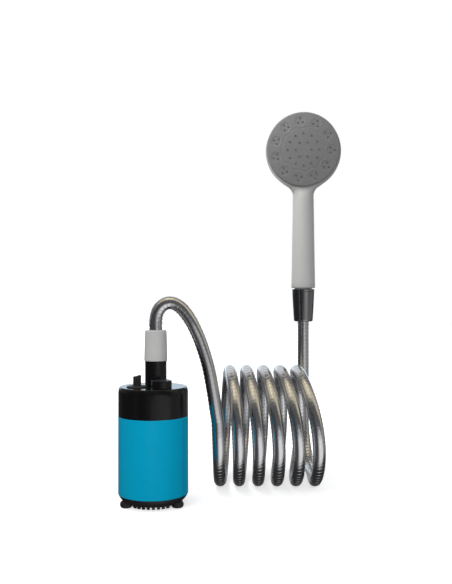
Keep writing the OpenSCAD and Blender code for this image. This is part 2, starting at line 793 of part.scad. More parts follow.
module power_button() {
    dish = 0.5;
    bottom = switch_top + button_travel + turning;
    top = cap_top + collar_h - button_low;
    color(soft_black) translate([collar_xy.x, collar_xy.y, 0]) rotate_extrude() polygon([[0, bottom],
        [button_stem_r, bottom], [button_stem_r, button_z], [button_r, button_z], [button_r, top - dish],
        [button_r - dish, top], [button_r * 0.6, top], [0, top - dish]]);
}

// Rubber plug of the charge socket: flange, stem and a stepped pull tab
module charge_plug() {
    color(soft_black) translate([plug_xy.x, plug_xy.y, cap_top]) {
        cylinder(r1 = plug_r, r2 = plug_r - 0.8, h = plug_flange_t);
        translate([0, 0, fit - cap_roof]) cylinder(r = stem_r, h = cap_roof);
        translate([-tab_w / 2, -tab_t / 2, plug_flange_t - fit]) cube([tab_w, tab_t, tab_h - tab_step + fit]);
        translate([0, -tab_t / 2, plug_flange_t - fit]) cube([tab_w / 2, tab_t, tab_h + fit]);
    }
}

// Bulkhead outlet: a plain neck on the cap, a thread for the hose above it and a tail below it
module outlet_neck() {
    bore = tube_r - tube_wall;
    tail_z = cap_top - neck_tail_l;
    color(black) translate([neck_x, neck_y, 0]) difference() {
        union() {
            translate([0, 0, cap_top]) cylinder(r = neck_r, h = neck_h);
            translate([0, 0, tail_z]) cylinder(r = neck_tail_r, h = neck_tail_l + cut);
            translate([0, 0, neck_top - cut]) cylinder(r = thread_r, h = thread_l + cut);
        }
        translate([0, 0, tail_z - cut]) cylinder(r = bore, h = neck_tail_l + neck_h + thread_l + 2 * cut);
        translate([0, 0, tail_z - cut]) cylinder(r = tube_r + fit / 2, h = tail_socket + cut);
    }
}

module neck_lock_nut() {
    color(white) translate([neck_x, neck_y, roof_under - lock_h]) difference() {
        cylinder(r = lock_r, h = lock_h, $fn = 6);
        translate([0, 0, -cut]) cylinder(r = neck_tail_r + running, h = lock_h + 2 * cut);
    }
}

module hose_washer() {
    tube(washer_r, water_r, washer_t);
}

// Flanged sleeve that grips the hose's end, flange at the bottom
module hose_tail(sleeve_l) {
    rotate_extrude() polygon([[water_r, 0], [washer_r, 0], [washer_r, flange_t], [sleeve_r, flange_t],
        [sleeve_r, flange_t + sleeve_l], [hose_r + press, flange_t + sleeve_l], [hose_r + press, flange_t],
        [water_r, flange_t]]);
}

// Space inside a hose nut, from its threaded mouth upwards to the hose
module nut_space(h) {
    shoulder = thread_l + washer_t + flange_t + turning;
    translate([0, 0, -cut]) cylinder(r = thread_r + fit, h = shoulder + cut);
    cylinder(r = sleeve_r + turning, h = h + cut);
}

module outlet_washer() {
    color(soft_black) translate([neck_x, neck_y, neck_top + thread_l]) hose_washer();
}

module pump_hose_tail() {
    color(brass) translate([neck_x, neck_y, pump_tail_z]) hose_tail(pump_sleeve_l);
}

module hose_nut() {
    edge = 0.8;
    color(pale_grey) translate([neck_x, neck_y, neck_top]) difference() {
        rotate_extrude() polygon([[0, 0], [nut_d / 2 - edge, 0], [nut_d / 2, edge],
            [(nut_d - nut_taper) / 2, nut_h - edge], [(nut_d - nut_taper) / 2 - edge, nut_h], [0, nut_h]]);
        nut_space(nut_h);
    }
}

module hose_arch() {
    color(steel) ribbed_hose(arch_path, [0, 1, 0], [[0, 0, 1], coil_dir(coil_from)],
        round(last(lengths(arch_path)) / bore_ring_step));
}

module hose_coil() {
    color(steel) ribbed_hose(coil_path, [1, 0, 0], [coil_dir(coil_from), coil_dir(coil_to)],
        round(bore_rings_per_turn * (coil_to - coil_from)) + 2);
}

module hose_riser() {
    color(steel) ribbed_hose(riser_path, [1, 0, 0], [coil_dir(coil_to), [0, 0, 1]],
        round(last(lengths(riser_path)) / bore_ring_step));
}

module handset_hose_tail() {
    color(brass) translate([riser_xy.x, riser_xy.y, handset_tail_z]) mirror([0, 0, 1])
        hose_tail(handset_sleeve_l);
}

module cone_nut() {
    edge = 0.8;
    round_r = 2.4;
    color(chrome) translate([riser_xy.x, riser_xy.y, cone_z]) difference() {
        rotate_extrude() polygon(concat([[0, 0]],
            [for (a = [-90 : 15 : 0])
                [cone_tip_d / 2 - round_r * (1 - cos(a)) * 0.6, round_r * (1 + sin(a))]],
            [[cone_d / 2, cone_h - edge], [cone_d / 2 - edge, cone_h], [0, cone_h]]));
        translate([0, 0, cone_h]) mirror([0, 0, 1]) nut_space(cone_h);
    }
}

module handset_washer() {
    color(soft_black) translate([riser_xy.x, riser_xy.y, handset_tail_z]) hose_washer();
}

// Half width, half depth and shift of the handle's section at height z
function handle_section(z) = let (
    s = smooth((z - handle_l) / flare_l),
    r = handle_d / 2 + (handle_top_d - handle_d) / 2 * min(z / handle_l, 1))
    [r + (flare_w - r) * s, r + (flare_depth - r) * s, flare_shift * s];

function handle_ring(z) = let (q = handle_section(z)) [for (j = [0 : handle_sides - 1])
    let (a = 360 * j / handle_sides) [q[0] * cos(a), q[1] * sin(a) + q[2], z]];

// Puts a piece in the hand shower's own frame: handle's lower end at the origin
module in_handset() {
    translate(handset_yaw_axis) rotate(handset_yaw) children();
}

// Puts a piece in the spray face's frame: front middle at the origin, +Z into the head
module in_face() {
    in_handset() translate([0, -face_reach, face_rise]) rotate([face_tilt - 90, 0, 0]) children();
}

// Half of the head's outline behind the spray face, drawn in by an inset
function dome(r, w0, w1) = [for (a = [0 : 10 : 90]) [r * pow(cos(a), 0.8), w0 + (w1 - w0) * sin(a)]];

module handset_shell() {
    flare_top = handle_l + flare_l + flare_cap;
    heights = concat([for (k = [0 : 4]) handle_l * k / 4], [for (k = [1 : 8]) handle_l + flare_l * k / 8],
        [flare_top]);
    shell_r = face_r - rim_in;
    inner_r = shell_r - shell_t;
    color(pale_grey) difference() {
        union() {
            in_handset() {
                polyhedron(points = [for (z = heights) each handle_ring(z)],
                    faces = concat(skin_faces(len(heights), handle_sides, false),
                        [[for (j = [0 : handle_sides - 1]) j]],
                        [[for (j = [handle_sides - 1 : -1 : 0]) (len(heights) - 1) * handle_sides + j]]));
                translate([0, 0, -handle_gap - thread_l])
                    cylinder(r = thread_r, h = handle_gap + thread_l + cut);
            }
            in_face() rotate_extrude() polygon(concat([[0, face_t], [shell_r, face_t]],
                dome(shell_r, rim_w, head_depth)));
        }
        in_face() translate([0, 0, -head_depth]) cylinder(r = face_r + fit, h = head_depth + face_t);
        in_face() rotate_extrude() polygon(concat([[0, face_t - cut], [inner_r, face_t - cut],
            [inner_r, face_t + mat_t + disc_t], [inner_r - disc_ledge, face_t + mat_t + disc_t]],
            dome(inner_r - disc_ledge, rim_w + shell_t, head_depth - shell_t)));
        in_handset() translate([0, 0, -handle_gap - thread_l - cut])
            cylinder(d = handle_bore, h = handle_gap + thread_l + handle_l + flare_l / 2 + cut);
    }
}

module face_seal() {
    color(soft_black) in_face() translate([0, 0, face_t + mat_t / 2])
        torus(face_r - rim_in - shell_t - mat_t / 2, mat_t / 2 - running);
}

module flow_disc() {
    holes = 8;
    color(white) in_face() translate([0, 0, face_t + mat_t]) difference() {
        cylinder(r = face_r - rim_in - shell_t - fit, h = disc_t);
        at_polar(face_r / 2, [for (i = [0 : holes - 1]) 360 * i / holes]) translate([0, 0, -cut])
            cylinder(r = disc_hole_r, h = disc_t + 2 * cut);
    }
}

// Places a piece at every jet: groups of three on the outer ring and plain rings inside
module at_jets() {
    for (i = [0 : group_count - 1]) rotate(group_turn + 360 * i / group_count)
        translate([0, group_ring * face_r, 0])
            at_polar(group_spread, [90, 210, 330]) children();
    for (row = inner_rings) at_polar(row[0] * face_r, [for (i = [0 : row[1] - 1]) 360 * i / row[1]])
        children();
}

// Rubber mat behind the face whose nozzles stand out through it
module nozzle_mat() {
    mat_r = face_r - rim_in - shell_t - 2 * mat_t;
    color(soft_black) in_face() {
        translate([0, 0, face_t]) cylinder(r = mat_r, h = mat_t);
        at_jets() translate([0, 0, -jet_stand]) cylinder(d = nozzle_d, h = face_t + jet_stand + mat_t / 2);
    }
}

module spray_face() {
    groove_r = groove_ring * face_r;
    color(face_grey) in_face() difference() {
        rotate_extrude() polygon(concat([[0, face_t], [0, 0]],
            [for (a = [-90 : 15 : 0]) [face_r - face_edge * (1 - cos(a)), face_edge * (1 + sin(a))]],
            [[face_r, face_t]]));
        translate([0, 0, -cut]) tube(groove_r + groove_w / 2, groove_r - groove_w / 2, groove_t + cut);
        at_jets() translate([0, 0, -cut]) cylinder(d = nozzle_d + 2 * jet_hole, h = face_t + 2 * cut);
    }
}

rubber_feet();
base_strainer();
base_seal();
volute();
volute_screws();
shaft_seal();
impeller();
motor_shaft();
armature();
motor_can();
motor_magnets();
motor_bushes();
motor_end_cap();
motor_screws();
battery_cradle();
battery_cells();
contact_strip();
riser_tube();
housing();
cap_seal();
top_cap();
control_board();
board_screws();
switch_block();
charge_socket();
switch_collar();
button_seal();
power_button();
charge_plug();
outlet_neck();
neck_lock_nut();
outlet_washer();
pump_hose_tail();
hose_nut();
hose_arch();
hose_coil();
hose_riser();
handset_hose_tail();
cone_nut();
handset_washer();
handset_shell();
face_seal();
flow_disc();
nozzle_mat();
spray_face();
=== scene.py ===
import bmesh
import bpy
import numpy as np
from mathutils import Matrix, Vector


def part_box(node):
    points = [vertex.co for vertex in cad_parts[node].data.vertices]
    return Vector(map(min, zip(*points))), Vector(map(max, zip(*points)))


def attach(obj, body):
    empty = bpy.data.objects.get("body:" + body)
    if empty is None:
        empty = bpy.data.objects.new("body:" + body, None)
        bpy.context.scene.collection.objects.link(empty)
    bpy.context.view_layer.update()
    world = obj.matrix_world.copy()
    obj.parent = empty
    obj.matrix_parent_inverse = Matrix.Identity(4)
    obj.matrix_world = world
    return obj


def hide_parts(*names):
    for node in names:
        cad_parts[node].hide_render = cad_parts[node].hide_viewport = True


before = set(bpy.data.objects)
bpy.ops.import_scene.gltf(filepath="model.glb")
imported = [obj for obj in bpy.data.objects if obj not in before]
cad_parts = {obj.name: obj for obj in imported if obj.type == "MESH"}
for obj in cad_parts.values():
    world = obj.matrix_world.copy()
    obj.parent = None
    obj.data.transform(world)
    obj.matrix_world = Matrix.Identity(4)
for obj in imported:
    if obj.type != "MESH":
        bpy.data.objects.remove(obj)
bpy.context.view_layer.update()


# Base strainer: a black bowl moulded in one piece of glass-filled plastic, with a toothed skirt below it that
# keeps grit out of the pump. The housing slips over its spigot, and its finish is duller than the cap's.
mm = 0.001  # one millimetre in the frame's metres


def add(tree, kind, inputs=None, **settings):
    """Adds one node. Settings are its own options, and each input is a plain value or another node's socket
    that is linked to it."""
    node = tree.nodes.new(kind)
    for key, value in settings.items():
        setattr(node, key, value)
    for key, value in (inputs or {}).items():
        if isinstance(value, bpy.types.NodeSocket):
            tree.links.new(value, node.inputs[key])
        else:
            node.inputs[key].default_value = value
    return node


def calc(tree, operation, *terms):
    """Adds one Math node on its terms, each a number or a socket, and returns the result's socket."""
    return add(tree, "ShaderNodeMath", dict(enumerate(terms)), operation=operation).outputs[0]


def blend(tree, share, first, second):
    """Mixes two colours, each a value or a socket, by a share, and returns the mixture's socket. A Mix node
    has its two colours at inputs 6 and 7 and their mixture at output 2."""
    return add(tree, "ShaderNodeMix", {0: share, 6: first, 7: second}, data_type="RGBA").outputs[2]


def noise(tree, place, scale, detail):
    """A cloudy value between 0 and 1 over the piece, finer with a larger scale."""
    return add(tree, "ShaderNodeTexNoise", {"Vector": place, "Scale": scale, "Detail": detail}).outputs["Fac"]


def shared_effect(name, inputs, outputs):
    """An empty shader group; returns its tree, its input sockets and its output node's sockets."""
    tree = bpy.data.node_groups.new(name, "ShaderNodeTree")
    for direction, sockets in (("INPUT", inputs), ("OUTPUT", outputs)):
        for label, kind in sockets.items():
            tree.interface.new_socket(label, in_out=direction, socket_type="NodeSocket" + kind)
    return tree, tree.nodes.new("NodeGroupInput").outputs, tree.nodes.new("NodeGroupOutput").inputs


# Skin of a moulded piece: flow marks make the colour drift, and the mould's fine grain sets gloss and relief.
moulded_skin, given, put = shared_effect(
    "Moulded skin",
    {"Colour": "Color", "Drift": "Float", "Grain": "Float", "Gloss": "Float", "Spread": "Float"},
    {"Colour": "Color", "Roughness": "Float", "Height": "Float"})
place = add(moulded_skin, "ShaderNodeTexCoord").outputs["Object"]
flow = calc(moulded_skin, "SUBTRACT", noise(moulded_skin, place, scale=42, detail=3), 0.5)
value = calc(moulded_skin, "MULTIPLY_ADD", flow, given["Drift"], 1)
drift = add(moulded_skin, "ShaderNodeHueSaturation", {"Value": value, "Color": given["Colour"]})
grain = noise(moulded_skin, place, scale=given["Grain"], detail=2)
off_mean = calc(moulded_skin, "SUBTRACT", grain, 0.5)
gloss = calc(moulded_skin, "MULTIPLY_ADD", off_mean, given["Spread"], given["Gloss"])
moulded_skin.links.new(drift.outputs["Color"], put["Colour"])
moulded_skin.links.new(gloss, put["Roughness"])
moulded_skin.links.new(grain, put["Height"])

# Rubbed edges: broken patches along the piece's own "edge" attribute, which is 1 on its rounded corners.
rubbed_edge, given, put = shared_effect("Rubbed edge", {"Amount": "Float"}, {"Mask": "Float"})
place = add(rubbed_edge, "ShaderNodeTexCoord").outputs["Object"]
corner = add(rubbed_edge, "ShaderNodeAttribute", attribute_name="edge").outputs["Fac"]
patches = noise(rubbed_edge, place, scale=330, detail=4)
reach = calc(rubbed_edge, "MULTIPLY", corner, patches)
broken = add(rubbed_edge, "ShaderNodeMapRange", {"Value": reach, "From Min": 0.36, "From Max": 0.72})
mask = calc(rubbed_edge, "MULTIPLY", broken.outputs[0], given["Amount"])
rubbed_edge.links.new(mask, put["Mask"])


def new_finish(name, sockets):
    """A material with plain values on its shader's own sockets; returns it with its tree and its shader."""
    material = bpy.data.materials.new(name)
    material.use_nodes = True
    shader = material.node_tree.nodes["Principled BSDF"]
    for key, value in sockets.items():
        shader.inputs[key].default_value = value
    return material, material.node_tree, shader


def moulded(name, colour, gloss, drift=0.12, grain=2400, spread=0.12, depth=0.03 * mm, wear=0.25, shine=0.5):
    """Plastic or rubber: the moulded skin under a paler rub along the edges."""
    material, tree, shader = new_finish(name, {"Specular IOR Level": shine})
    surface = add(tree, "ShaderNodeGroup",
                  {"Colour": (*colour, 1), "Drift": drift, "Grain": grain, "Gloss": gloss, "Spread": spread},
                  node_tree=moulded_skin).outputs
    rub = add(tree, "ShaderNodeGroup", {"Amount": wear}, node_tree=rubbed_edge).outputs["Mask"]
    pale = tuple(0.75 * c + 0.12 for c in colour)  # a scuff is greyer, and on dark plastic paler
    tint = blend(tree, rub, surface["Colour"], (*pale, 1))
    relief = add(tree, "ShaderNodeBump", {"Strength": 0.6, "Distance": depth, "Height": surface["Height"]})
    tree.links.new(tint, shader.inputs["Base Color"])
    tree.links.new(surface["Roughness"], shader.inputs["Roughness"])
    tree.links.new(relief.outputs["Normal"], shader.inputs["Normal"])
    return material


def dress(material, *nodes):
    """Gives a carried-over piece its finish."""
    for node in nodes:
        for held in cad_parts[node].material_slots:
            held.material = material


black_dull = moulded("black_bowl_plastic", (0.013, 0.013, 0.014), 0.42)
dress(black_dull, "base_strainer")


# Feet: three moulded rubber buttons that snap into the bowl and keep the intake off the bucket's floor.
# Each is a swelling disc with a flat contact ring; a stem and a barbed head hold it.
def merge(mesh, near, thin=None):
    """Makes one of points that lie together, takes out faces thinner than a given length and shades the rest
    smoothly."""
    work = bmesh.new()
    work.from_mesh(mesh)
    bmesh.ops.remove_doubles(work, verts=work.verts, dist=near)
    if thin:
        bmesh.ops.dissolve_degenerate(work, edges=work.edges, dist=thin)
    work.to_mesh(mesh)
    work.free()
    mesh.shade_smooth()


def into_scene(name, mesh):
    """Makes a finished mesh an object of the scene, at the origin and unturned."""
    piece = bpy.data.objects.new(name, mesh)
    bpy.context.scene.collection.objects.link(piece)
    return piece


def skin(name, grids, wrap=(True, True), edges=None, sharp=38):
    """Quads between neighbouring points of each grid, closed along every axis that wraps. Points that fall
    together at a pole become one, edges is the wear value of each point, and sharp is the angle in degrees
    past which two faces meet in a crease."""
    faces, start = [], 0
    for grid in grids:
        rows, cols = grid.shape[:2]
        index = start + np.arange(rows * cols).reshape(rows, cols)
        index = np.pad(index, ((0, int(wrap[0])), (0, int(wrap[1]))), mode="wrap")
        quads = np.stack([index[:-1, :-1], index[1:, :-1], index[1:, 1:], index[:-1, 1:]], -1)
        faces.append(quads.reshape(-1, 4))
        start += rows * cols
    points = np.vstack([grid.reshape(-1, 3) for grid in grids])
    mesh = bpy.data.meshes.new(name)
    mesh.from_pydata(points.tolist(), [], np.vstack(faces).tolist())
    if edges is not None:
        mesh.attributes.new("edge", "FLOAT", "POINT").data.foreach_set("value", np.ravel(edges))
    merge(mesh, near=0.0005 * mm, thin=0.0002 * mm)
    mesh.set_sharp_from_angle(angle=np.radians(sharp))
    return into_scene(name, mesh)


def turned(profile, centre, sides=96):
    """Grid of a turned shape: every profile point (r, z) goes round the upright axis through centre."""
    angle = np.linspace(0, 2 * np.pi, sides, endpoint=False)[:, None]
    r, z = np.asarray(profile)[:, 0], np.asarray(profile)[:, 1]
    return np.stack([centre[0] + r * np.cos(angle), centre[1] + r * np.sin(angle), z + 0 * angle], -1)


def settle(piece, body, slot, material, *nodes):
    """Gives a new piece its finish and its body, and lets it stand for the plain nodes."""
    piece.data.materials.append(material)
    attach(piece, body)
    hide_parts(*nodes)


foot_height, foot_radius, foot_bulge, foot_arc = 6.4 * mm, 6.3 * mm, 2.9 * mm, np.radians(70)
foot_stem, barb_r, barb_low, barb_top = 2.2 * mm, 3 * mm, 8.45 * mm, 9.6 * mm
swell = np.linspace(-foot_arc, foot_arc, 19)
foot_side = np.stack([foot_radius - foot_bulge * (1 - np.cos(swell)),
                      foot_height / 2 * (1 + np.sin(swell) / np.sin(foot_arc))], 1)
contact_r = foot_side[0, 0] - 0.8 * mm
foot_under = [[0, 1.1 * mm], [contact_r - 1.4 * mm, 1.0 * mm], [contact_r - 0.5 * mm, 0.15 * mm]]
foot_contact = [[contact_r, 0], [contact_r + 0.45 * mm, 0.08 * mm]]
foot_barb = [[foot_stem, foot_height], [foot_stem, barb_low], [barb_r, barb_low], [foot_stem, barb_top],
             [0, barb_top]]
foot_profile = np.vstack([foot_under, foot_contact, foot_side[1:], foot_barb])
foot_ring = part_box("rubber_feet")[1].y - foot_radius
feet = skin("rubber_feet_moulded",
            [turned(foot_profile, (foot_ring * np.cos(a), foot_ring * np.sin(a)), sides=40)
             for a in np.radians([-30, 90, 210])], wrap=(True, False))
soft_rubber = moulded("soft_black_rubber", (0.012, 0.012, 0.013), 0.62, grain=1500, depth=0.05 * mm)
settle(feet, "pump", "black_rubber", soft_rubber, "rubber_feet")


# Pump chamber and wheel: white acetal parts screwed into the bowl, seen only through the intake eye.
# The shaft's lip seal and the sealing rings of base and cap are black rubber.
white_acetal = moulded("white_acetal", (0.76, 0.76, 0.73), 0.38, drift=0.06)
dress(white_acetal, "volute", "impeller", "riser_tube", "neck_lock_nut", "flow_disc")
dress(soft_rubber, "shaft_seal", "base_seal", "cap_seal", "button_seal", "outlet_washer", "handset_washer",
      "face_seal")


# Motor: a drawn steel can with ferrite magnets, a copper-wound armature and sintered brass bushes.
# All its bare metal is turned or drawn, so its fine lines run round the upright axis.
turned_lines, given, put = shared_effect(
    "Turned lines", {"Gloss": "Float", "Spread": "Float", "Fineness": "Float"},
    {"Roughness": "Float", "Height": "Float"})
place = add(turned_lines, "ShaderNodeTexCoord").outputs["Object"]
stretch = add(turned_lines, "ShaderNodeMapping", {"Vector": place, "Scale": (0.02, 0.02, 1)}).outputs[0]
lines = noise(turned_lines, stretch, scale=given["Fineness"], detail=3)
smudge = noise(turned_lines, place, scale=70, detail=4)
smudged = calc(turned_lines, "MULTIPLY", lines, smudge)
gloss = calc(turned_lines, "MULTIPLY_ADD", smudged, given["Spread"], given["Gloss"])
turned_lines.links.new(gloss, put["Roughness"])
turned_lines.links.new(lines, put["Height"])


def bare_metal(name, colour, gloss, spread=0.25, fineness=900, depth=0.01 * mm):
    """Bare or plated metal with fine turned lines and faint smudges."""
    material, tree, shader = new_finish(name, {"Base Color": (*colour, 1), "Metallic": 1})
    worked = add(tree, "ShaderNodeGroup", {"Gloss": gloss, "Spread": spread, "Fineness": fineness},
                 node_tree=turned_lines).outputs
    relief = add(tree, "ShaderNodeBump", {"Strength": 0.4, "Distance": depth, "Height": worked["Height"]})
    tree.links.new(worked["Roughness"], shader.inputs["Roughness"])
    tree.links.new(relief.outputs["Normal"], shader.inputs["Normal"])
    return material


dress(bare_metal("plain_steel", (0.5, 0.5, 0.51), 0.24), "motor_shaft", "motor_can", "motor_screws",
      "volute_screws", "board_screws")
dress(bare_metal("copper_winding", (0.64, 0.3, 0.14), 0.34), "armature")
dress(moulded("ferrite", (0.03, 0.03, 0.032), 0.6), "motor_magnets")
dress(bare_metal("turned_brass", (0.62, 0.42, 0.16), 0.2), "motor_bushes", "contact_strip", "pump_hose_tail",
      "handset_hose_tail")
dress(moulded("black_motor_plastic", (0.02, 0.02, 0.021), 0.5), "motor_end_cap", "battery_cradle",
      "switch_block", "charge_socket")


# Battery and board: two cells in green shrink sleeve, and a round printed board under the cap's roof.
# Both are closed in by the housing, and only the finish of their materials matters here.
dress(moulded("green_sleeve", (0.03, 0.2, 0.1), 0.3, drift=0.05), "battery_cells")
dress(moulded("printed_board", (0.01, 0.1, 0.04), 0.3, drift=0.3, grain=700), "control_board")


# Housing: a tube of blue plastic, clamped between bowl and cap, satin from its mould.
# Its ends are broken by a small radius, which makes the fine seam at the cap and at the bowl.
def rounded(corners, steps=5, beside=1.3):
    """Profile of (r, z, edge): each corner (r, z, radius) gives way to a parabola between its two sides, with
    a holding point beside each end, some radii from the corner. The third column is 1 in the middle of a
    curve and 0 on the straight."""
    corners = np.asarray(corners, float)
    spot, radius = corners[:, :2], corners[:, 2:]
    back, ahead = np.roll(spot, 1, 0) - spot, np.roll(spot, -1, 0) - spot
    back /= np.maximum(np.linalg.norm(back, axis=1, keepdims=True), 1e-9)
    ahead /= np.maximum(np.linalg.norm(ahead, axis=1, keepdims=True), 1e-9)
    u = np.linspace(0, 1, steps)[None, :, None]
    curve = spot[:, None] + radius[:, None] * ((1 - u) ** 2 * back[:, None] + u ** 2 * ahead[:, None])
    edge = np.broadcast_to(4 * u * (1 - u), curve.shape[:2] + (1,))
    hold = [np.concatenate([spot + beside * radius * side, 0 * radius], 1)[:, None] for side in (back, ahead)]
    line = np.concatenate([hold[0], np.concatenate([curve, edge], 2), hold[1]], 1)
    return np.vstack([line[i] if corners[i, 2] > 0 else line[i, 1:2] for i in range(len(corners))])


def turned_piece(name, profile, centre, sides=96, hollow=True):
    """A piece turned from one profile (r, z, edge). A hollow one closes its profile round a bore; the profile
    of a full one begins and ends on the axis."""
    wear = np.tile(profile[:, 2], sides)
    return skin(name, [turned(profile, centre, sides)], wrap=(True, hollow), edges=wear)


low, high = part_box("housing")
body_r, wall, end_round, bore_round = high.x, 2.4 * mm, 0.45 * mm, 0.2 * mm
housing_profile = rounded([(body_r - wall, low.z, bore_round), (body_r, low.z, end_round),
                           (body_r, high.z, end_round), (body_r - wall, high.z, bore_round)])
housing = turned_piece("housing_tube", housing_profile, (0, 0), sides=160)
blue_satin = moulded("blue_satin_plastic", (0.0, 0.31, 0.505), 0.42, drift=0.08, grain=1700, wear=0.12,
                     shine=0.06)
settle(housing, "pump", "blue_shell", blue_satin, "housing")


# Cap: a deep black lid with a glossy roof and a long soft rounding at its upper edge.
# The outlet, the switch and the charge plug all stand on it.
black_gloss = moulded("black_cap_plastic", (0.004, 0.004, 0.0045), 0.17, grain=2000, spread=0.08,
                      depth=0.012 * mm, wear=0.1, shine=0.36)
dress(black_gloss, "top_cap")


# Outlet neck: a black threaded bulkhead fitting, turned in one piece and clamped through the cap's roof
# by a nut below. Its upper edge carries the hose nut.
def middle_of(low, high):
    """Middle of a box, seen from above."""
    return (low.x + high.x) / 2, (low.y + high.y) / 2


low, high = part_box("outlet_neck")
neck, cap_top = middle_of(low, high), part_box("top_cap")[1].z
neck_r, neck_top = high.x - neck[0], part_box("hose_nut")[0].z
thread_r, water_r, shank_r = 10.4775 * mm, 3.3 * mm, 7 * mm
neck_profile = rounded([(water_r, low.z, 0), (shank_r, low.z, 0.3 * mm), (shank_r, cap_top, 0),
                        (neck_r, cap_top, 0.3 * mm), (neck_r, neck_top, 0.5 * mm), (thread_r, neck_top, 0),
                        (thread_r, high.z, 0.6 * mm), (water_r, high.z, 0.2 * mm)])
neck_piece = turned_piece("outlet_neck_turned", neck_profile, neck)
settle(neck_piece, "pump", "black_shell", black_gloss, "outlet_neck")


# Switch: a raised collar on the cap with a dished push button sunk in it.
# Collar and button are moulded in the cap's black plastic; the button has a softer skin.
low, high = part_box("switch_collar")
switch = middle_of(low, high)
collar_r, well_r, hole_r, well_floor = high.x - switch[0], 7.7 * mm, 2.9 * mm, low.z + 1.6 * mm
collar_profile = rounded([(hole_r, low.z, 0), (collar_r, low.z, 0.2 * mm), (collar_r, high.z, 0.9 * mm),
                          (well_r, high.z, 0.35 * mm), (well_r, well_floor, 0), (hole_r, well_floor, 0)])
collar = turned_piece("switch_collar_ring", collar_profile, switch)
settle(collar, "pump", "black_shell", black_gloss, "switch_collar")

# The button's dish sinks with the square of 1 less the square of the share of its radius.
low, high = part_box("power_button")
button_r, button_stem, button_under = high.x - switch[0], 2.6 * mm, cap_top + 4.4 * mm
dish_r, dish, inwards = 0.62 * button_r, 0.5 * mm, np.linspace(1, 0, 14)[1:]
button_profile = np.vstack([
    rounded([(0, low.z, 0), (button_stem, low.z, 0.2 * mm), (button_stem, button_under, 0),
             (button_r, button_under, 0.2 * mm), (button_r, high.z, 0.6 * mm), (dish_r, high.z, 0)]),
    np.stack([dish_r * inwards, high.z - dish * (1 - inwards * inwards) ** 2, 0 * inwards], 1)])
button = turned_piece("power_button_moulded", button_profile, switch, hollow=False)
black_button = moulded("black_button", (0.016, 0.016, 0.017), 0.45)
settle(button, "power_button", "black_shell", black_button, "power_button")


# Charge plug: soft rubber, with a flange on the cap, a stem in the socket's hole and a flat pull tab.
# The flange thins out to its rim. The tab is stepped, a little higher on its right half, with round edges.
low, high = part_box("charge_plug")
plug = middle_of(low, high)
plug_r, flange_top, stem_r, rim_t = high.x - plug[0], cap_top + 2.6 * mm, 5.3 * mm, 1.1 * mm
tab_half, tab_thick, tab_round, tab_step = 4 * mm, 1.6 * mm, 0.9 * mm, 1.2 * mm
tab_low, tab_top, step_run, end_draw = flange_top - 0.3 * mm, high.z, 0.6 * mm, 0.2
end_power, side_power = 0.3, 0.5
plug_profile = rounded([(0, low.z, 0), (stem_r, low.z, 0.5 * mm), (stem_r, cap_top, 0),
                        (plug_r, cap_top, 0.25 * mm), (plug_r - 0.3 * mm, cap_top + rim_t, 0.5 * mm),
                        (tab_half + 0.5 * mm, flange_top - 0.6 * mm, 1.5 * mm), (0, flange_top, 0)])


def ease(u):
    """Smooth step from 0 to 1."""
    u = np.clip(u, 0, 1)
    return u * u * (3 - 2 * u)


def tab_grid(around, up_rows=6, over_rows=8):
    """Pull tab: a rounded rectangle, cosine and sine to small powers, goes up to the stepped top and closes
    over it in a quarter ellipse across the tab's thickness, while its ends draw in a little."""
    angle = np.linspace(0, 2 * np.pi, around, endpoint=False)[:, None]
    cos, sin = np.cos(angle), np.sin(angle)
    turn = np.concatenate([[np.pi / 2], np.zeros(up_rows), np.linspace(0, np.pi / 2, over_rows)])
    rise = np.concatenate([[0], np.linspace(0, 1, up_rows + 1)[:-1], np.ones(over_rows)])
    x = tab_half * np.sign(cos) * np.abs(cos) ** end_power * (1 - end_draw * rise * (1 - np.cos(turn)))
    y = tab_thick * np.sign(sin) * np.abs(sin) ** side_power * np.cos(turn)
    top = tab_top - tab_step * (1 - ease(x / step_run + 0.5)) - tab_round * (1 - np.sin(turn))
    return np.stack([plug[0] + x, plug[1] + y, tab_low + rise * (top - tab_low)], -1)


plug_sides = 72
plug_grids = [turned(plug_profile, plug, plug_sides), tab_grid(around=56)]
plug_edges = np.concatenate([np.tile(plug_profile[:, 2], plug_sides), np.zeros(plug_grids[1].size // 3)])
charge_plug = skin("charge_plug_moulded", plug_grids, wrap=(True, False), edges=plug_edges)
settle(charge_plug, "charge_plug", "black_rubber", soft_rubber, "charge_plug")


# Hose nut: a tapered coupling nut moulded in pale grey plastic, turned by hand on the neck's thread.
# Inside, its shoulder pulls the hose tail's flange down on the washer.
low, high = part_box("hose_nut")
nut_r, nut_top_r, nut_bore = high.x - neck[0], 10.9 * mm, 10.68 * mm
sleeve_bore, shoulder = 8.12 * mm, 14.3 * mm
nut_profile = rounded([(nut_bore, low.z, 0.25 * mm), (nut_r, low.z, 0.8 * mm), (nut_top_r, high.z, 1.1 * mm),
                       (sleeve_bore, high.z, 0.5 * mm), (sleeve_bore, low.z + shoulder, 0),
                       (nut_bore, low.z + shoulder, 0)])
hose_nut = turned_piece("hose_nut_moulded", nut_profile, neck)
grey_satin = moulded("pale_grey_plastic", (0.46, 0.46, 0.45), 0.4, drift=0.05, grain=1900, wear=0.12)
settle(hose_nut, "hose_nut", "grey_shell", grey_satin, "hose_nut")


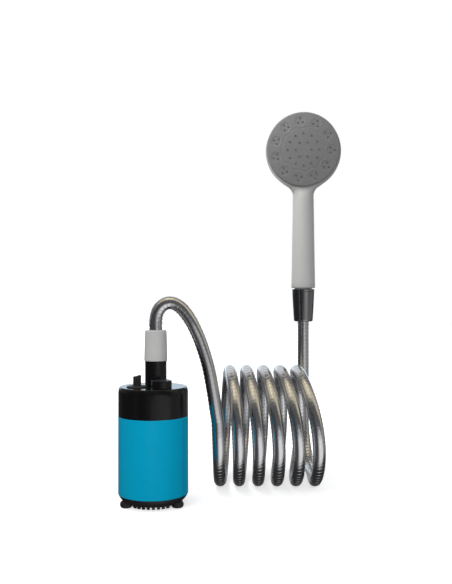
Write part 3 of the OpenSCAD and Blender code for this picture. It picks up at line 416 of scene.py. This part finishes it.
# Hose: a strip of stainless steel wound and folded into itself, over a rubber tube. Each turn of the strip is
# a flat band with a fine groove beside it; inside a bend the bands crowd together, outside they lie nearly
# smooth. It runs from the hose nut over the arch, through the coil and up the riser into the cone nut.
hose_r, hose_bore, band_pitch, groove_depth = 6.7 * mm, 4.8 * mm, 4.6 * mm, 0.62 * mm
coil_r, coil_pitch, coil_x0, coil_y0 = 59.3 * mm, 20.4 * mm, 67.5 * mm, 73.6 * mm
coil_from, coil_to, coil_steps = -0.25, 5, 192
top_lean, front_swell, back_swell = (0.7 * mm, -1.95 * mm), (2.4 * mm, 1 * mm), (-0.5 * mm, 2.5 * mm)
riser = (165.5 * mm, 147 * mm)
hose_from, hose_to = neck_top + 14 * mm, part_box("hose_riser")[1].z
arch_points = [(2, 6, 184), (3.5, 6, 191.5), (7.5, 6, 197.5), (13.5, 6, 201), (20.5, 6.5, 200.5),
               (28, 7, 195.5), (34.5, 7.5, 187.5), (40, 8, 178), (47, 9.5, 162), (54.5, 11, 138),
               (59.5, 12.5, 112), (62.5, 13.5, 92)]
riser_points = [(170.5, 98, 7.1), (169.5, 117, 10.7), (168, 132.5, 21.2), (166.5, 143, 37.7),
                (165.5, 147, 56.7), (165.5, 147, 81.7), (165.5, 147, 111.7), (165.5, 147, 146.7)]


def smooth_line(points, steps=12):
    """Cubic through every point: a span leaves each end in the direction of that end's two neighbours."""
    p = np.asarray(points, float)
    u = (np.arange(steps) / steps)[None, :, None]
    before, after = np.vstack([p[:1], p[:-2]]), np.vstack([p[2:], p[-1:]])
    a, b, c, d = (q[:, None] for q in (before, p[:-1], p[1:], after))
    spans = b + ((c - a) * u + (2 * a - 5 * b + 4 * c - d) * u ** 2 + (3 * b - 3 * c + d - a) * u ** 3) / 2
    return np.vstack([spans.reshape(-1, 3), p[-1:]])


def coil_point(t):
    """Point of the coil after t turns: a circle in the upright plane that walks along X. Its tops lean over
    and its front and back swell along X, each by an amount that grows with t."""
    cos, sin = np.cos(2 * np.pi * t), np.sin(2 * np.pi * t)
    swell = np.where(sin > 0, back_swell[0] + back_swell[1] * t, front_swell[0] + front_swell[1] * t)
    x = coil_x0 + coil_pitch * t + (1 - cos) / 2 * (top_lean[0] + top_lean[1] * t) + sin ** 2 * swell
    return np.stack([x, coil_y0 + coil_r * sin, hose_r + coil_r * (1 - cos)], -1)


def unit(v):
    """Vectors of length 1 along the last axis."""
    return v / np.linalg.norm(v, axis=-1, keepdims=True)


# The route: the arch reaches the coil, and the riser leaves it, two radii along the coil's end directions.
turns = np.arange(coil_from, coil_to + 0.5 / coil_steps, 1 / coil_steps)
ends, nudge = np.array([turns[0], turns[-1]]), 0.0005
end_way = unit(coil_point(ends + nudge) - coil_point(ends - nudge))
coil_in = coil_point(ends[:1])[0] - 2 * hose_r * end_way[0]
coil_out = coil_point(ends[1:])[0] + 2 * hose_r * end_way[1]
arch = smooth_line([(*neck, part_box("hose_nut")[1].z), *(np.array(arch_points) * mm), coil_in])
rise = smooth_line([coil_out, *(np.array(riser_points) * mm), (*riser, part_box("cone_nut")[0].z)])
route = np.vstack([[(*neck, hose_from)], arch, coil_point(turns), rise, [(*riser, hose_to)]])
stops = np.concatenate([[0], np.cumsum(np.linalg.norm(np.diff(route, axis=0), axis=1))])
hose_length, arch_length = stops[-1], stops[len(arch)]


def along(places, values, s):
    """Values given at places along the hose, read off at distances s."""
    return np.stack([np.interp(s, places, column) for column in values.T], -1)


# The winding's frame, at even steps: a side direction turns from Y to X on the way down into the coil, where
# the hose is upright. The bend points to the inside of the curve and is averaged over a few steps.
even = np.linspace(0, hose_length, 1600)
middle = along(stops, route, even)
way = unit(np.gradient(middle, even, axis=0))
over_steps, turn_before, turn_over = 9, 120 * mm, 100 * mm
mean = np.ones(over_steps) / over_steps
bend = np.stack([np.convolve(np.pad(column, over_steps // 2, mode="edge"), mean, "valid")
                 for column in np.gradient(way, even, axis=0).T], -1)
lean = np.pi / 2 * (1 - ease((even - arch_length + turn_before) / turn_over))
side = np.stack([np.cos(lean), np.sin(lean), 0 * lean], -1)
side = unit(side - np.sum(side * way, -1, keepdims=True) * way)


def hose_ring(s, angle):
    """Middle points at distances s along the hose, the directions outwards at the angles round it, and how
    far each of these looks into the bend: 1 over the bend's radius inside it, minus that outside."""
    t, u = unit(along(even, way, s)), along(even, side, s)
    u = unit(u - np.sum(u * t, -1, keepdims=True) * t)
    out = np.cos(angle)[..., None] * u + np.sin(angle)[..., None] * np.cross(t, u)
    return along(even, middle, s), out, np.sum(out * along(even, bend, s), -1)


# One band: where its points lie in a pitch, how deep they are in the groove, and which way its flanks lean.
band_share = np.array([0, 0.075, 0.16, 0.5, 0.84, 0.925])
band_level = np.array([-1, -0.55, -0.05, 0, -0.05, -0.55])
band_flank = np.array([0, -1, 0, 0, 0, 1])
full_crowd, plain_relief, crowd_relief = 45 * mm, 0.75, 0.35
top_power, under_power, under_gain = 5, 3, 1.2
# Painted shade in the grooves: how strong it is on straight runs, inside bends and on the tops of the turns.
plain_groove_shade, bend_groove_shade, top_groove_shade = 0.13, 0.3, 0.65
plain_lean, bend_lean, upright_lean = 0.07, 0.2, 0.9


def hose_mesh(name, sides=24, bore_rings=320):
    """The band's profile follows a screw line: going once round moves a point on by one pitch, so each ring
    of the grid joins the ring one pitch further on. A plain bore closes it. The bands are polished level and
    shade as a plain tube; only the flanks of a groove lean, most on the tops and undersides of the turns and
    in bends. Painted shade darkens its grooves, most on the tops and in bends."""
    bands = int(np.ceil(hose_length / band_pitch)) + 1
    start = (np.arange(-1, bands)[:, None] + band_share).ravel() * band_pitch
    angle = np.linspace(0, 2 * np.pi, sides, endpoint=False)
    s = np.clip(start[:, None] + band_pitch * angle / (2 * np.pi), 0, hose_length)
    from_end = np.minimum(s, hose_length - s)
    level = np.tile(band_level, bands + 1)[:, None] * np.clip(from_end / (2 * band_pitch), 0, 1)
    centre, out, inside = hose_ring(s, np.broadcast_to(angle, s.shape))
    crowd = np.clip(inside * full_crowd, -1, 1)
    outer = centre + out * (hose_r + groove_depth * level * (plain_relief + crowd_relief * crowd))[..., None]
    bore_s = np.broadcast_to(np.linspace(0, hose_length, bore_rings)[:, None], (bore_rings, sides))
    centre, bore_out, _ = hose_ring(bore_s, np.broadcast_to(angle, bore_s.shape))
    inner = centre + bore_out * hose_bore

    rows = len(start)
    index = np.arange(rows * sides).reshape(rows, sides)
    later = index[np.minimum(np.arange(rows) + len(band_share), rows - 1), 0]
    rims = [np.append(index[0], index[0, 0]), np.append(index[-1], index[-1, 0])]
    index = np.hstack([index, later[:, None]])
    bore = rows * sides + np.arange(bore_rings * sides).reshape(bore_rings, sides)
    bore = np.hstack([bore, bore[:, :1]])
    quads = [np.stack([q[:-1, :-1], q[:-1, 1:], q[1:, 1:], q[1:, :-1]], -1).reshape(-1, 4)
             for q in (index, bore[::-1], np.vstack([bore[0], rims[0]]), np.vstack([rims[1], bore[-1]]))]
    points = np.vstack([outer.reshape(-1, 3), inner.reshape(-1, 3)])
    mesh = bpy.data.meshes.new(name)
    mesh.from_pydata(points.tolist(), [], np.vstack(quads).tolist())

    inner_side, up = np.clip(crowd, 0, 1), out[..., 2]
    upright = np.where(up > 0, up ** top_power, under_gain * np.abs(up) ** under_power)
    # Painted shade in the grooves, darker on the tops of the turns and inside bends.
    groove_shade = -level * (plain_groove_shade + bend_groove_shade * inner_side + top_groove_shade * upright * (up > 0))
    groove = np.concatenate([groove_shade.ravel(), np.zeros(inner.size // 3)])
    mesh.attributes.new("groove", "FLOAT", "POINT").data.foreach_set("value", groove)
    leaning = plain_lean + bend_lean * inner_side + upright_lean * upright
    leaning = np.tile(band_flank, bands + 1)[:, None] * leaning
    facing = out + leaning[..., None] * unit(along(even, way, s))
    facing = np.vstack([facing.reshape(-1, 3), -bore_out.reshape(-1, 3)])
    mesh.attributes.new("facing", "FLOAT_VECTOR", "POINT").data.foreach_set("vector", facing.ravel())
    merge(mesh, near=0.001 * mm)
    facing = np.zeros(3 * len(mesh.vertices))
    mesh.attributes["facing"].data.foreach_get("vector", facing)
    mesh.normals_split_custom_set_from_vertices(unit(facing.reshape(-1, 3)).tolist())
    mesh.attributes.remove(mesh.attributes["facing"])
    return into_scene(name, mesh)


def wound_steel(name, colour, dark, gloss=0.13, spread=0.14):
    """Polished strip: bright on the bands, dark with painted shade in the grooves, with faint smudges."""
    material, tree, shader = new_finish(name, {"Metallic": 1})
    groove = add(tree, "ShaderNodeAttribute", attribute_name="groove").outputs["Fac"]
    deep = add(tree, "ShaderNodeMapRange", {"Value": groove, "From Min": 0.12, "From Max": 0.8}).outputs[0]
    place = add(tree, "ShaderNodeTexCoord").outputs["Object"]
    smudge = noise(tree, place, scale=160, detail=5)
    # The groove attribute darkens the base colour towards dark: painted shade in the grooves.
    tree.links.new(blend(tree, deep, (*colour, 1), (*dark, 1)), shader.inputs["Base Color"])
    tree.links.new(calc(tree, "MULTIPLY_ADD", smudge, spread, gloss), shader.inputs["Roughness"])
    return material


hose = hose_mesh("ribbed_hose")
settle(hose, "pump", "hose_steel", wound_steel("wound_steel_strip", (0.68, 0.68, 0.69), (0.03, 0.03, 0.03)),
       "hose_arch", "hose_coil", "hose_riser")


# Cone nut: chrome-plated brass, a slim cone that hangs in a wall holder and screws to the hand shower.
# A turned line sets off its thick upper rim.
low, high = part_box("cone_nut")
cone_r, cone_tip, rim_h, line_w, line_d = high.x - riser[0], 11.2 * mm, 2.6 * mm, 0.5 * mm, 0.45 * mm
slope = (cone_r - cone_tip) / (high.z - low.z)
rim_z = high.z - rim_h
cone_profile = rounded([
    (sleeve_bore, low.z, 0.4 * mm), (cone_tip, low.z, 1.8 * mm),
    (cone_r - slope * (rim_h + line_w), rim_z - line_w, 0.15 * mm),
    (cone_r - slope * rim_h - line_d, rim_z - line_w / 2, 0),
    (cone_r - slope * rim_h, rim_z, 0.15 * mm), (cone_r, high.z, 0.7 * mm), (nut_bore, high.z, 0.3 * mm),
    (nut_bore, high.z - shoulder, 0), (sleeve_bore, high.z - shoulder, 0)])
cone_nut = turned_piece("cone_nut_plated", cone_profile, riser, sides=128)
dark_chrome = bare_metal("plated_chrome", (0.27, 0.27, 0.275), 0.08, spread=0.12, fineness=1400,
                         depth=0.004 * mm)
settle(cone_nut, "cone_nut", "cone_chrome", dark_chrome, "cone_nut")


# Hand shower: handle and head are one pale grey moulding. The handle is a tapering round bar whose sides run
# out in a fillet into the head's rim; behind, its back dies away into the domed head.
handset_z, yaw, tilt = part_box("cone_nut")[1].z + 1.2 * mm, np.radians(-5.8), np.radians(10.5)
face_rise, face_reach, face_r, face_t = 162 * mm, 22 * mm, 43.2 * mm, 4 * mm
handle_low, handle_top, handle_l = 14.2 * mm, 12.45 * mm, 110 * mm
head_r, head_drop, fillet, rim_w, head_depth = face_r + 0.8 * mm, 1.7 * mm, 12.5 * mm, 7 * mm, 22 * mm
spout_r, spout_low, spout_deep = 6 * mm, -11.2 * mm, 80 * mm
edge_in, edge_up, plain_from = (1.1 * mm, 0.35 * mm), (0.35 * mm, 1.2 * mm), 8 * mm
dome_power, dome_end, dome_fall, keel_fall = 2.5, 1.25, 4, 2
keel_end, fill_w = 7 * mm, 7 * mm
keel_half, keel_flare, flare_over, keel_fade = 19 * mm, 12 * mm, 24 * mm, 40 * mm
keel_sink, sink_power, keel_drop, drop_before, drop_over = 15 * mm, 1.5, 24 * mm, 14 * mm, 40 * mm
flat_before, flat_after = 2 * mm, 4 * mm


def into_place(points):
    """From the hand shower's own frame, handle's lower end at the origin, to the object's frame."""
    x, y, z = np.moveaxis(points, -1, 0)
    return np.stack([riser[0] + x * np.cos(yaw) - y * np.sin(yaw),
                     riser[1] + x * np.sin(yaw) + y * np.cos(yaw), handset_z + z], -1)


def soft_max(a, b, width):
    """The larger of two values, with the corner between them filled over a width."""
    near = np.clip(width - np.abs(a - b), 0, None)
    return np.maximum(a, b) + near * near / (4 * width)


def head_half_width(v):
    """Half width of the outline at height v over the head's middle: handle, fillet arc, then the round head.
    Also gives the heights at which the arc starts and finishes."""
    start = -np.sqrt((head_r + fillet) ** 2 - (handle_top + fillet) ** 2)
    finish = head_r * start / (head_r + fillet)
    arc = handle_top + fillet - np.sqrt(np.clip(fillet ** 2 - (v - start) ** 2, 0, None))
    disc = np.sqrt(np.clip(head_r ** 2 - v ** 2, 0, None))
    return np.where(v < start, handle_top, np.where(v < finish, arc, disc)), start, finish


def head_grid(angle):
    """Rows climb from the handle's top over the head. A row runs over the back from side to side and returns
    over the front: the back is the larger of the handle's fading keel, half an ellipse across, and the head's
    dome, a superellipse; the front turns from the handle's round to the flat seat of the face."""
    _, start, finish = head_half_width(np.zeros(1))
    middle_z = face_rise - head_drop
    v = np.concatenate([np.linspace((handle_l - middle_z) / np.cos(tilt), start, 4)[:-1],
                        np.linspace(start, finish, 18)[:-1],
                        head_r * np.sin(np.linspace(np.arcsin(finish / head_r), np.pi / 2, 46))])
    w = head_half_width(v)[0][:, None]
    z = (middle_z + v * np.cos(tilt))[:, None]
    v = v[:, None]
    x = w * np.cos(angle)
    front_plane = -face_reach - (z - face_rise) * np.tan(tilt)
    reach = np.sqrt(x * x + v * v) / head_r
    dome = rim_w + (head_depth - rim_w) * np.sqrt(np.clip(1 - np.clip(reach, 0, 1) ** dome_power, 0, None))
    dome = front_plane + dome - dome_fall * head_r * np.clip(reach - 1, 0, None)
    fade = ease((z - handle_l) / keel_fade)
    keel_w = np.minimum(w, keel_half + keel_flare * ease((v - finish) / flare_over))
    keel_mid = -keel_sink * fade ** sink_power - keel_drop * ease((v + drop_before) / drop_over)
    keel_deep = handle_top + (keel_end - handle_top) * fade
    keel = keel_mid + keel_deep * np.sqrt(np.clip(1 - (x / np.maximum(keel_w, 1e-6)) ** 2, 0, None))
    keel = keel - keel_fall * np.clip(np.abs(x) - keel_w, 0, None)
    back = np.where(reach < dome_end, soft_max(keel, dome, fill_w), keel)
    flat = ease((v - start + flat_before) / (finish - start + flat_before + flat_after))
    front = -handle_top * np.sin(angle) * (1 - flat) + (front_plane + face_t) * flat
    over_back, over_front = np.stack([x, back, z + 0 * x], -1), np.stack([x, front, z + 0 * x], -1)
    return np.concatenate([over_back, over_front[:, ::-1]], 1)


def handle_grid(angle):
    """Rows start on the bore's closed end, go down the bore to the spout's end, up the thread to the handle's
    rounded lower edge and then along the tapering handle. Every row is a circle."""
    whole = np.concatenate([angle, -angle[:, ::-1]], 1)
    z = np.concatenate([[spout_deep, spout_deep, spout_low, spout_low, 0, 0, *edge_up],
                        np.linspace(plain_from, handle_l, 14)[:-1]])[:, None]
    taper = handle_low + (handle_top - handle_low) * np.clip(z / handle_l, 0, 1)
    r = np.vstack([[[0], [spout_r], [spout_r], [thread_r], [thread_r]],
                   [[handle_low - edge_in[0]], [handle_low - edge_in[1]]], taper[7:]])
    return np.stack([r * np.cos(whole), r * np.sin(whole), z + 0 * whole], -1)


half_round = np.linspace(0, np.pi, 44)[None]
shell_grid = np.concatenate([handle_grid(half_round), head_grid(half_round)], 0)
shell = skin("hand_shower_shell", [into_place(shell_grid)[:, ::-1]], wrap=(False, True), sharp=50)
settle(shell, "handset", "grey_shell", grey_satin, "handset_shell")


# Spray face: a satin grey plate snapped into the head, slightly crowned. Groups of three jets lie in shallow
# round dimples near its rim, inside them runs a scalloped groove, and single jets fill the middle.
groups, group_ring, group_turn, spread_r = 11, 0.76 * face_r, np.radians(10), 3.4 * mm
crown, dimple_r, dimple, dimple_side = 3 * mm, 6.0 * mm, 0.36 * mm, 1.1 * mm
scallop_r, scallop, scallop_w, scallop_d = 0.575 * face_r, 0.9 * mm, 0.55 * mm, 0.3 * mm
plate_r, plate_round, plate_lip = face_r - 0.5 * mm, 1.2 * mm, 2.6 * mm
single_rings = ((0.215, 6), (0.425, 12))


def onto_face(points):
    """From the face's frame, front middle at the origin and +Z into the head, to the object's frame."""
    x, y, z = np.moveaxis(points, -1, 0)
    return into_place(np.stack([x, -face_reach + y * np.sin(tilt) + z * np.cos(tilt),
                                face_rise - y * np.cos(tilt) + z * np.sin(tilt)], -1))


def circle(angle):
    """Points on the circle of radius 1."""
    return np.stack([np.cos(angle), np.sin(angle)], -1)


group_angle = np.pi / 2 + group_turn + 2 * np.pi * np.arange(groups) / groups
group_at = group_ring * circle(group_angle)
three = np.radians([90, 210, 330]) + group_angle[:, None] - np.pi / 2
group_jets = group_at[:, None] + spread_r * circle(three)
single_jets = [share * face_r * circle(2 * np.pi * np.arange(count) / count) for share, count in single_rings]
jets = np.vstack([group_jets.reshape(-1, 2), *single_jets])


def face_level(x, y):
    """Depth of the plate's front below its rim: a flat crown, less the dimples and the scalloped groove."""
    r, angle = np.hypot(x, y), np.arctan2(y, x)
    to_group = np.min(np.hypot(x[..., None] - group_at[:, 0], y[..., None] - group_at[:, 1]), -1)
    wave = scallop_r - scallop * np.cos(groups * (angle - group_angle[0]))
    groove = np.exp(-((r - wave) / scallop_w) ** 2)
    bowl = dimple * ease((dimple_r - to_group) / dimple_side)
    return -crown * (1 - (r / plate_r) ** 2) + bowl + scallop_d * groove


# The plate's rings go from the middle of the front to its rim, fall off there in a quarter circle and return
# over the flat back.
flat_r = plate_r - plate_round
ring = np.concatenate([np.linspace(0, flat_r, 96),
                       plate_r - plate_round * (1 - np.sin(np.linspace(0, np.pi / 2, 8)[1:]))])
angle = np.linspace(0, 2 * np.pi, 264, endpoint=False)[:, None]
plate_x, plate_y = ring * np.cos(angle), ring * np.sin(angle)
edge_fall = np.clip((ring - plate_r + plate_round) / plate_round, 0, 1)
plate_z = face_level(plate_x, plate_y) + plate_round * (1 - np.sqrt(np.clip(1 - edge_fall ** 2, 0, None)))
back_r, back_z = np.array([plate_r, plate_r, 0]), np.array([plate_lip, face_t, face_t])
plate = np.concatenate([
    np.stack([plate_x, plate_y, plate_z], -1),
    np.stack([back_r * np.cos(angle), back_r * np.sin(angle), back_z + 0 * angle], -1)], 1)
face = skin("spray_face_plate", [onto_face(plate)], wrap=(True, False), sharp=50)
face_grey = moulded("grey_face_plastic", (0.185, 0.185, 0.188), 0.4, drift=0.14, grain=1500, wear=0.1)
settle(face, "handset", "face_plastic", face_grey, "spray_face")


# Jets: soft rubber nozzles of the mat behind the plate, pushed out through its holes so that lime rubs off.
# Each is a short cone with a round lip and a small bore.
jet_profile = np.array([(0, 0.4), (0.42, 0.4), (0.5, -0.42), (0.62, -0.55), (0.95, -0.5), (1.08, -0.3),
                        (1.25, 0.6), (1.25, 2.4), (0, 2.4)]) * mm
jet_grids = [onto_face(turned(jet_profile, (x, y), sides=14) + np.array([0, 0, level]))
             for x, y, level in np.column_stack([jets, face_level(*jets.T)])]
nozzles = skin("jet_nozzles", jet_grids, wrap=(True, False), sharp=60)
jet_rubber = moulded("dark_grey_rubber", (0.135, 0.135, 0.137), 0.55)
settle(nozzles, "handset", "black_rubber", jet_rubber, "nozzle_mat")


# Floor and light: a white floor that keeps a soft shadow, and four soft lamps. A dome that only mirror-like
# surfaces see holds the studio's cards: a white panel low on the right, a warm ceiling, dark flags and floor.
studio_middle = (0.08, 0.06)


def seen_rays(tree):
    """1 for rays from the camera, a mirror or glass, which see the white background."""
    path = add(tree, "ShaderNodeLightPath").outputs
    mirror = calc(tree, "MAXIMUM", path["Is Camera Ray"], path["Is Glossy Ray"])
    return calc(tree, "MAXIMUM", mirror, path["Is Transmission Ray"])


def empty_tree(owner):
    """Gives a material or a world an empty node tree."""
    owner.use_nodes = True
    owner.node_tree.nodes.clear()
    return owner.node_tree


world = bpy.data.worlds.new("white_studio")
bpy.context.scene.world = world
tree = empty_tree(world)
soft = add(tree, "ShaderNodeBackground", {"Color": (0.97, 0.985, 1, 1), "Strength": 0.45})
white = add(tree, "ShaderNodeBackground", {"Color": (1, 1, 1, 1), "Strength": 1})
sky = add(tree, "ShaderNodeMixShader", {0: seen_rays(tree), 1: soft.outputs[0], 2: white.outputs[0]})
add(tree, "ShaderNodeOutputWorld", {"Surface": sky.outputs[0]})

# The floor's rings lie closer together towards its middle, and it is a hair below the feet.
floor_reach, floor_z = 4, -0.1 * mm
floor_r = np.linspace(0, floor_reach, 40) ** 2 / floor_reach
floor_profile = np.stack([floor_r, 0 * floor_r + floor_z], 1)[::-1]
floor = skin("floor", [turned(floor_profile, studio_middle, sides=64)], wrap=(True, False))
floor.visible_glossy = False
floor_white = bpy.data.materials.new("white_floor")
tree = empty_tree(floor_white)
place = add(tree, "ShaderNodeTexCoord").outputs["Object"]
far = add(tree, "ShaderNodeVectorMath", {0: place}, operation="LENGTH").outputs["Value"]
lift = add(tree, "ShaderNodeMapRange",
           {"Value": far, "From Min": 0.25, "From Max": 0.7, "To Min": 0.6, "To Max": 1.2})
lit = add(tree, "ShaderNodeBsdfDiffuse", {"Color": (0.8, 0.8, 0.8, 1)})
bounce = add(tree, "ShaderNodeBsdfDiffuse", {"Color": (0.4, 0.4, 0.4, 1)})
glow = add(tree, "ShaderNodeEmission", {"Strength": lift.outputs[0]})
seen = add(tree, "ShaderNodeAddShader", {0: lit.outputs[0], 1: glow.outputs[0]})
pick = add(tree, "ShaderNodeMixShader", {0: seen_rays(tree), 1: bounce.outputs[0], 2: seen.outputs[0]})
add(tree, "ShaderNodeOutputMaterial", {"Surface": pick.outputs[0]})
floor.data.materials.append(floor_white)


def lamp(name, where, aim, size, power, colour, spread=180):
    """A square soft box at a point, turned to face another point; a grid before it narrows its spread."""
    light = bpy.data.lights.new(name, "AREA")
    light.energy, light.size, light.color, light.spread = power, size, colour, np.radians(spread)
    holder = bpy.data.objects.new(name, light)
    bpy.context.scene.collection.objects.link(holder)
    aim_way = Vector(aim) - Vector(where)
    holder.location = where
    holder.rotation_euler = aim_way.to_track_quat("-Z", "Y").to_euler()
    holder.visible_glossy = False


lamp("soft_key", (-0.75, -0.95, 1.0), (0.08, 0.06, 0.2), 0.9, 6.5, (1, 0.99, 0.97))
lamp("soft_top", (-0.08, 0.0, 0.57), (0.17, 0.13, 0.34), 0.24, 1.4, (1, 1, 1))
lamp("soft_front", (0.02, -0.75, 0.2), (0, 0, 0.1), 0.3, 0.1, (1, 1, 1), 30)
lamp("soft_fill", (0.9, -0.8, 0.5), (0.1, 0.06, 0.2), 0.9, 2.5, (0.97, 0.98, 1))


# Each card: colour, its span across as sines of the angle to the right, and its span in degrees up from the
# front and over the top; these end at 180, level at the back, where a longer span is cut. A span is where the
# card begins, is full, is still full and has ended. A later card covers the ones before it.
all_across, back_wall = (-2, -1.9, 1.9, 2), (-0.8, -0.6, 0.6, 0.8)
dome_cards = [
    ((0.11, 0.11, 0.115), all_across, (-30, -12, 42, 54)),  # dim room behind the camera
    ((0.05, 0.05, 0.055), (-0.84, -0.64, -0.46, -0.26), (-81, -69, 19, 31)),  # dark flag at its left
    ((0.95, 0.95, 0.96), (-0.25, 0.09, 0.68, 1.02), (-78, -64, -22, -2)),  # white panel, low on the right
    ((0.6, 0.6, 0.61), (0.15, 0.4, 0.6, 0.9), (-14, -8, -4, 1)),  # the panel's upper edge
    ((0.8, 0.8, 0.81), (0.05, 0.25, 0.5, 0.75), (-7, -3.5, 0, 2)),  # bright strip on that edge
    ((0.72, 0.64, 0.48), (-0.88, -0.62, 0.9, 1.1), (50, 62, 92, 106)),  # warm ceiling
    ((0.66, 0.59, 0.45), (0.6, 0.75, 1, 1.1), (34, 48, 110, 150)),  # its right end, which comes down
    ((1.1, 0.98, 0.72), (-0.42, -0.22, 0.04, 0.24), (50, 64, 90, 102)),  # bright field in the ceiling
    ((0.12, 0.12, 0.12), all_across, (100, 107, 114, 126)),  # dark beam behind the ceiling
    ((0.03, 0.03, 0.03), all_across, (-144, -136, -83, -74)),  # dark floor
    ((0.95, 0.97, 1), (-0.7, -0.45, 0.15, 0.5), (118, 130, 153, 163)),  # high window at the back
    ((0.92, 0.98, 1.05), back_wall, (155, 161, 197, 203)),  # pale back wall
    ((1.08, 1.3, 1.5), back_wall, (163, 168, 181, 187)),  # bluish strip low on that wall
    ((0.07, 0.07, 0.075), all_across, (-205, -195, -150, -140)),  # dark floor at the back
    ((0.5, 0.5, 0.505), (-0.55, -0.37, 0.37, 0.55), (-205, -195, -158, -150)),  # its paler middle
    ((0.31, 0.31, 0.315), (0.84, 0.94, 1.1, 1.2), (-205, -200, 34, 48)),  # grey wall at the far right
    ((0.05, 0.05, 0.055), (-1.2, -1.1, -0.9, -0.78), (-205, -200, 34, 48))]  # dark wall at the far left
dome_r, dome_grey, dome_at = 1.9, (0.2, 0.2, 0.205), (*studio_middle, 0.15)
rows, columns = np.linspace(-np.pi / 2, np.pi / 2, 33), np.linspace(0, 2 * np.pi, 65)[:-1, None]
dome_grid = np.stack([dome_at[0] + dome_r * np.cos(rows) * np.cos(columns),
                      dome_at[1] + dome_r * np.cos(rows) * np.sin(columns),
                      dome_at[2] + dome_r * np.sin(rows) + 0 * columns], -1)
dome = skin("studio_dome", [dome_grid], wrap=(True, False))
for rays in ("camera", "diffuse", "transmission", "shadow", "volume_scatter"):
    setattr(dome, "visible_" + rays, False)
cards = bpy.data.materials.new("studio_cards")
cards.cycles.emission_sampling = "NONE"
tree = empty_tree(cards)
place = add(tree, "ShaderNodeTexCoord").outputs["Object"]
from_middle = add(tree, "ShaderNodeVectorMath", {0: place, 1: dome_at}, operation="SUBTRACT")
look = add(tree, "ShaderNodeVectorMath", {0: from_middle.outputs[0]}, operation="NORMALIZE")
axes = add(tree, "ShaderNodeSeparateXYZ", {0: look.outputs[0]}).outputs
front = calc(tree, "MULTIPLY", axes["Y"], -1)
pitch = calc(tree, "DEGREES", calc(tree, "ARCTAN2", axes["Z"], front))


def inside_span(value, begins, full, still, ended):
    """1 from full to still, with a smooth rise before it and a smooth fall after it."""
    up = add(tree, "ShaderNodeMapRange", {"Value": value, "From Min": begins, "From Max": full},
             interpolation_type="SMOOTHSTEP")
    down = add(tree, "ShaderNodeMapRange", {"Value": value, "From Min": ended, "From Max": still},
               interpolation_type="SMOOTHSTEP")
    return calc(tree, "MULTIPLY", up.outputs[0], down.outputs[0])


shade = (*dome_grey, 1)
for colour, across, over in dome_cards:
    covered = calc(tree, "MULTIPLY", inside_span(axes["X"], *across), inside_span(pitch, *over))
    shade = blend(tree, covered, shade, (*colour, 1))
shine = add(tree, "ShaderNodeEmission", {"Color": shade})
add(tree, "ShaderNodeOutputMaterial", {"Surface": shine.outputs[0]})
dome.data.materials.append(cards)


# Camera: level, just above the top of the hose's arch, at the photograph's distance and angle.
# It is fitted to the coil and the hand shower.
eye = bpy.data.cameras.new("photo_view")
eye.lens, eye.sensor_width = 46.85, 36
holder = bpy.data.objects.new("photo_view", eye)
holder.location = (73.0 * mm, -763.3 * mm, 212.1 * mm)
holder.rotation_euler = (np.pi / 2, 0, 0)
bpy.context.scene.collection.objects.link(holder)
bpy.context.scene.camera = holder
bpy.context.scene.view_settings.view_transform = "Standard"
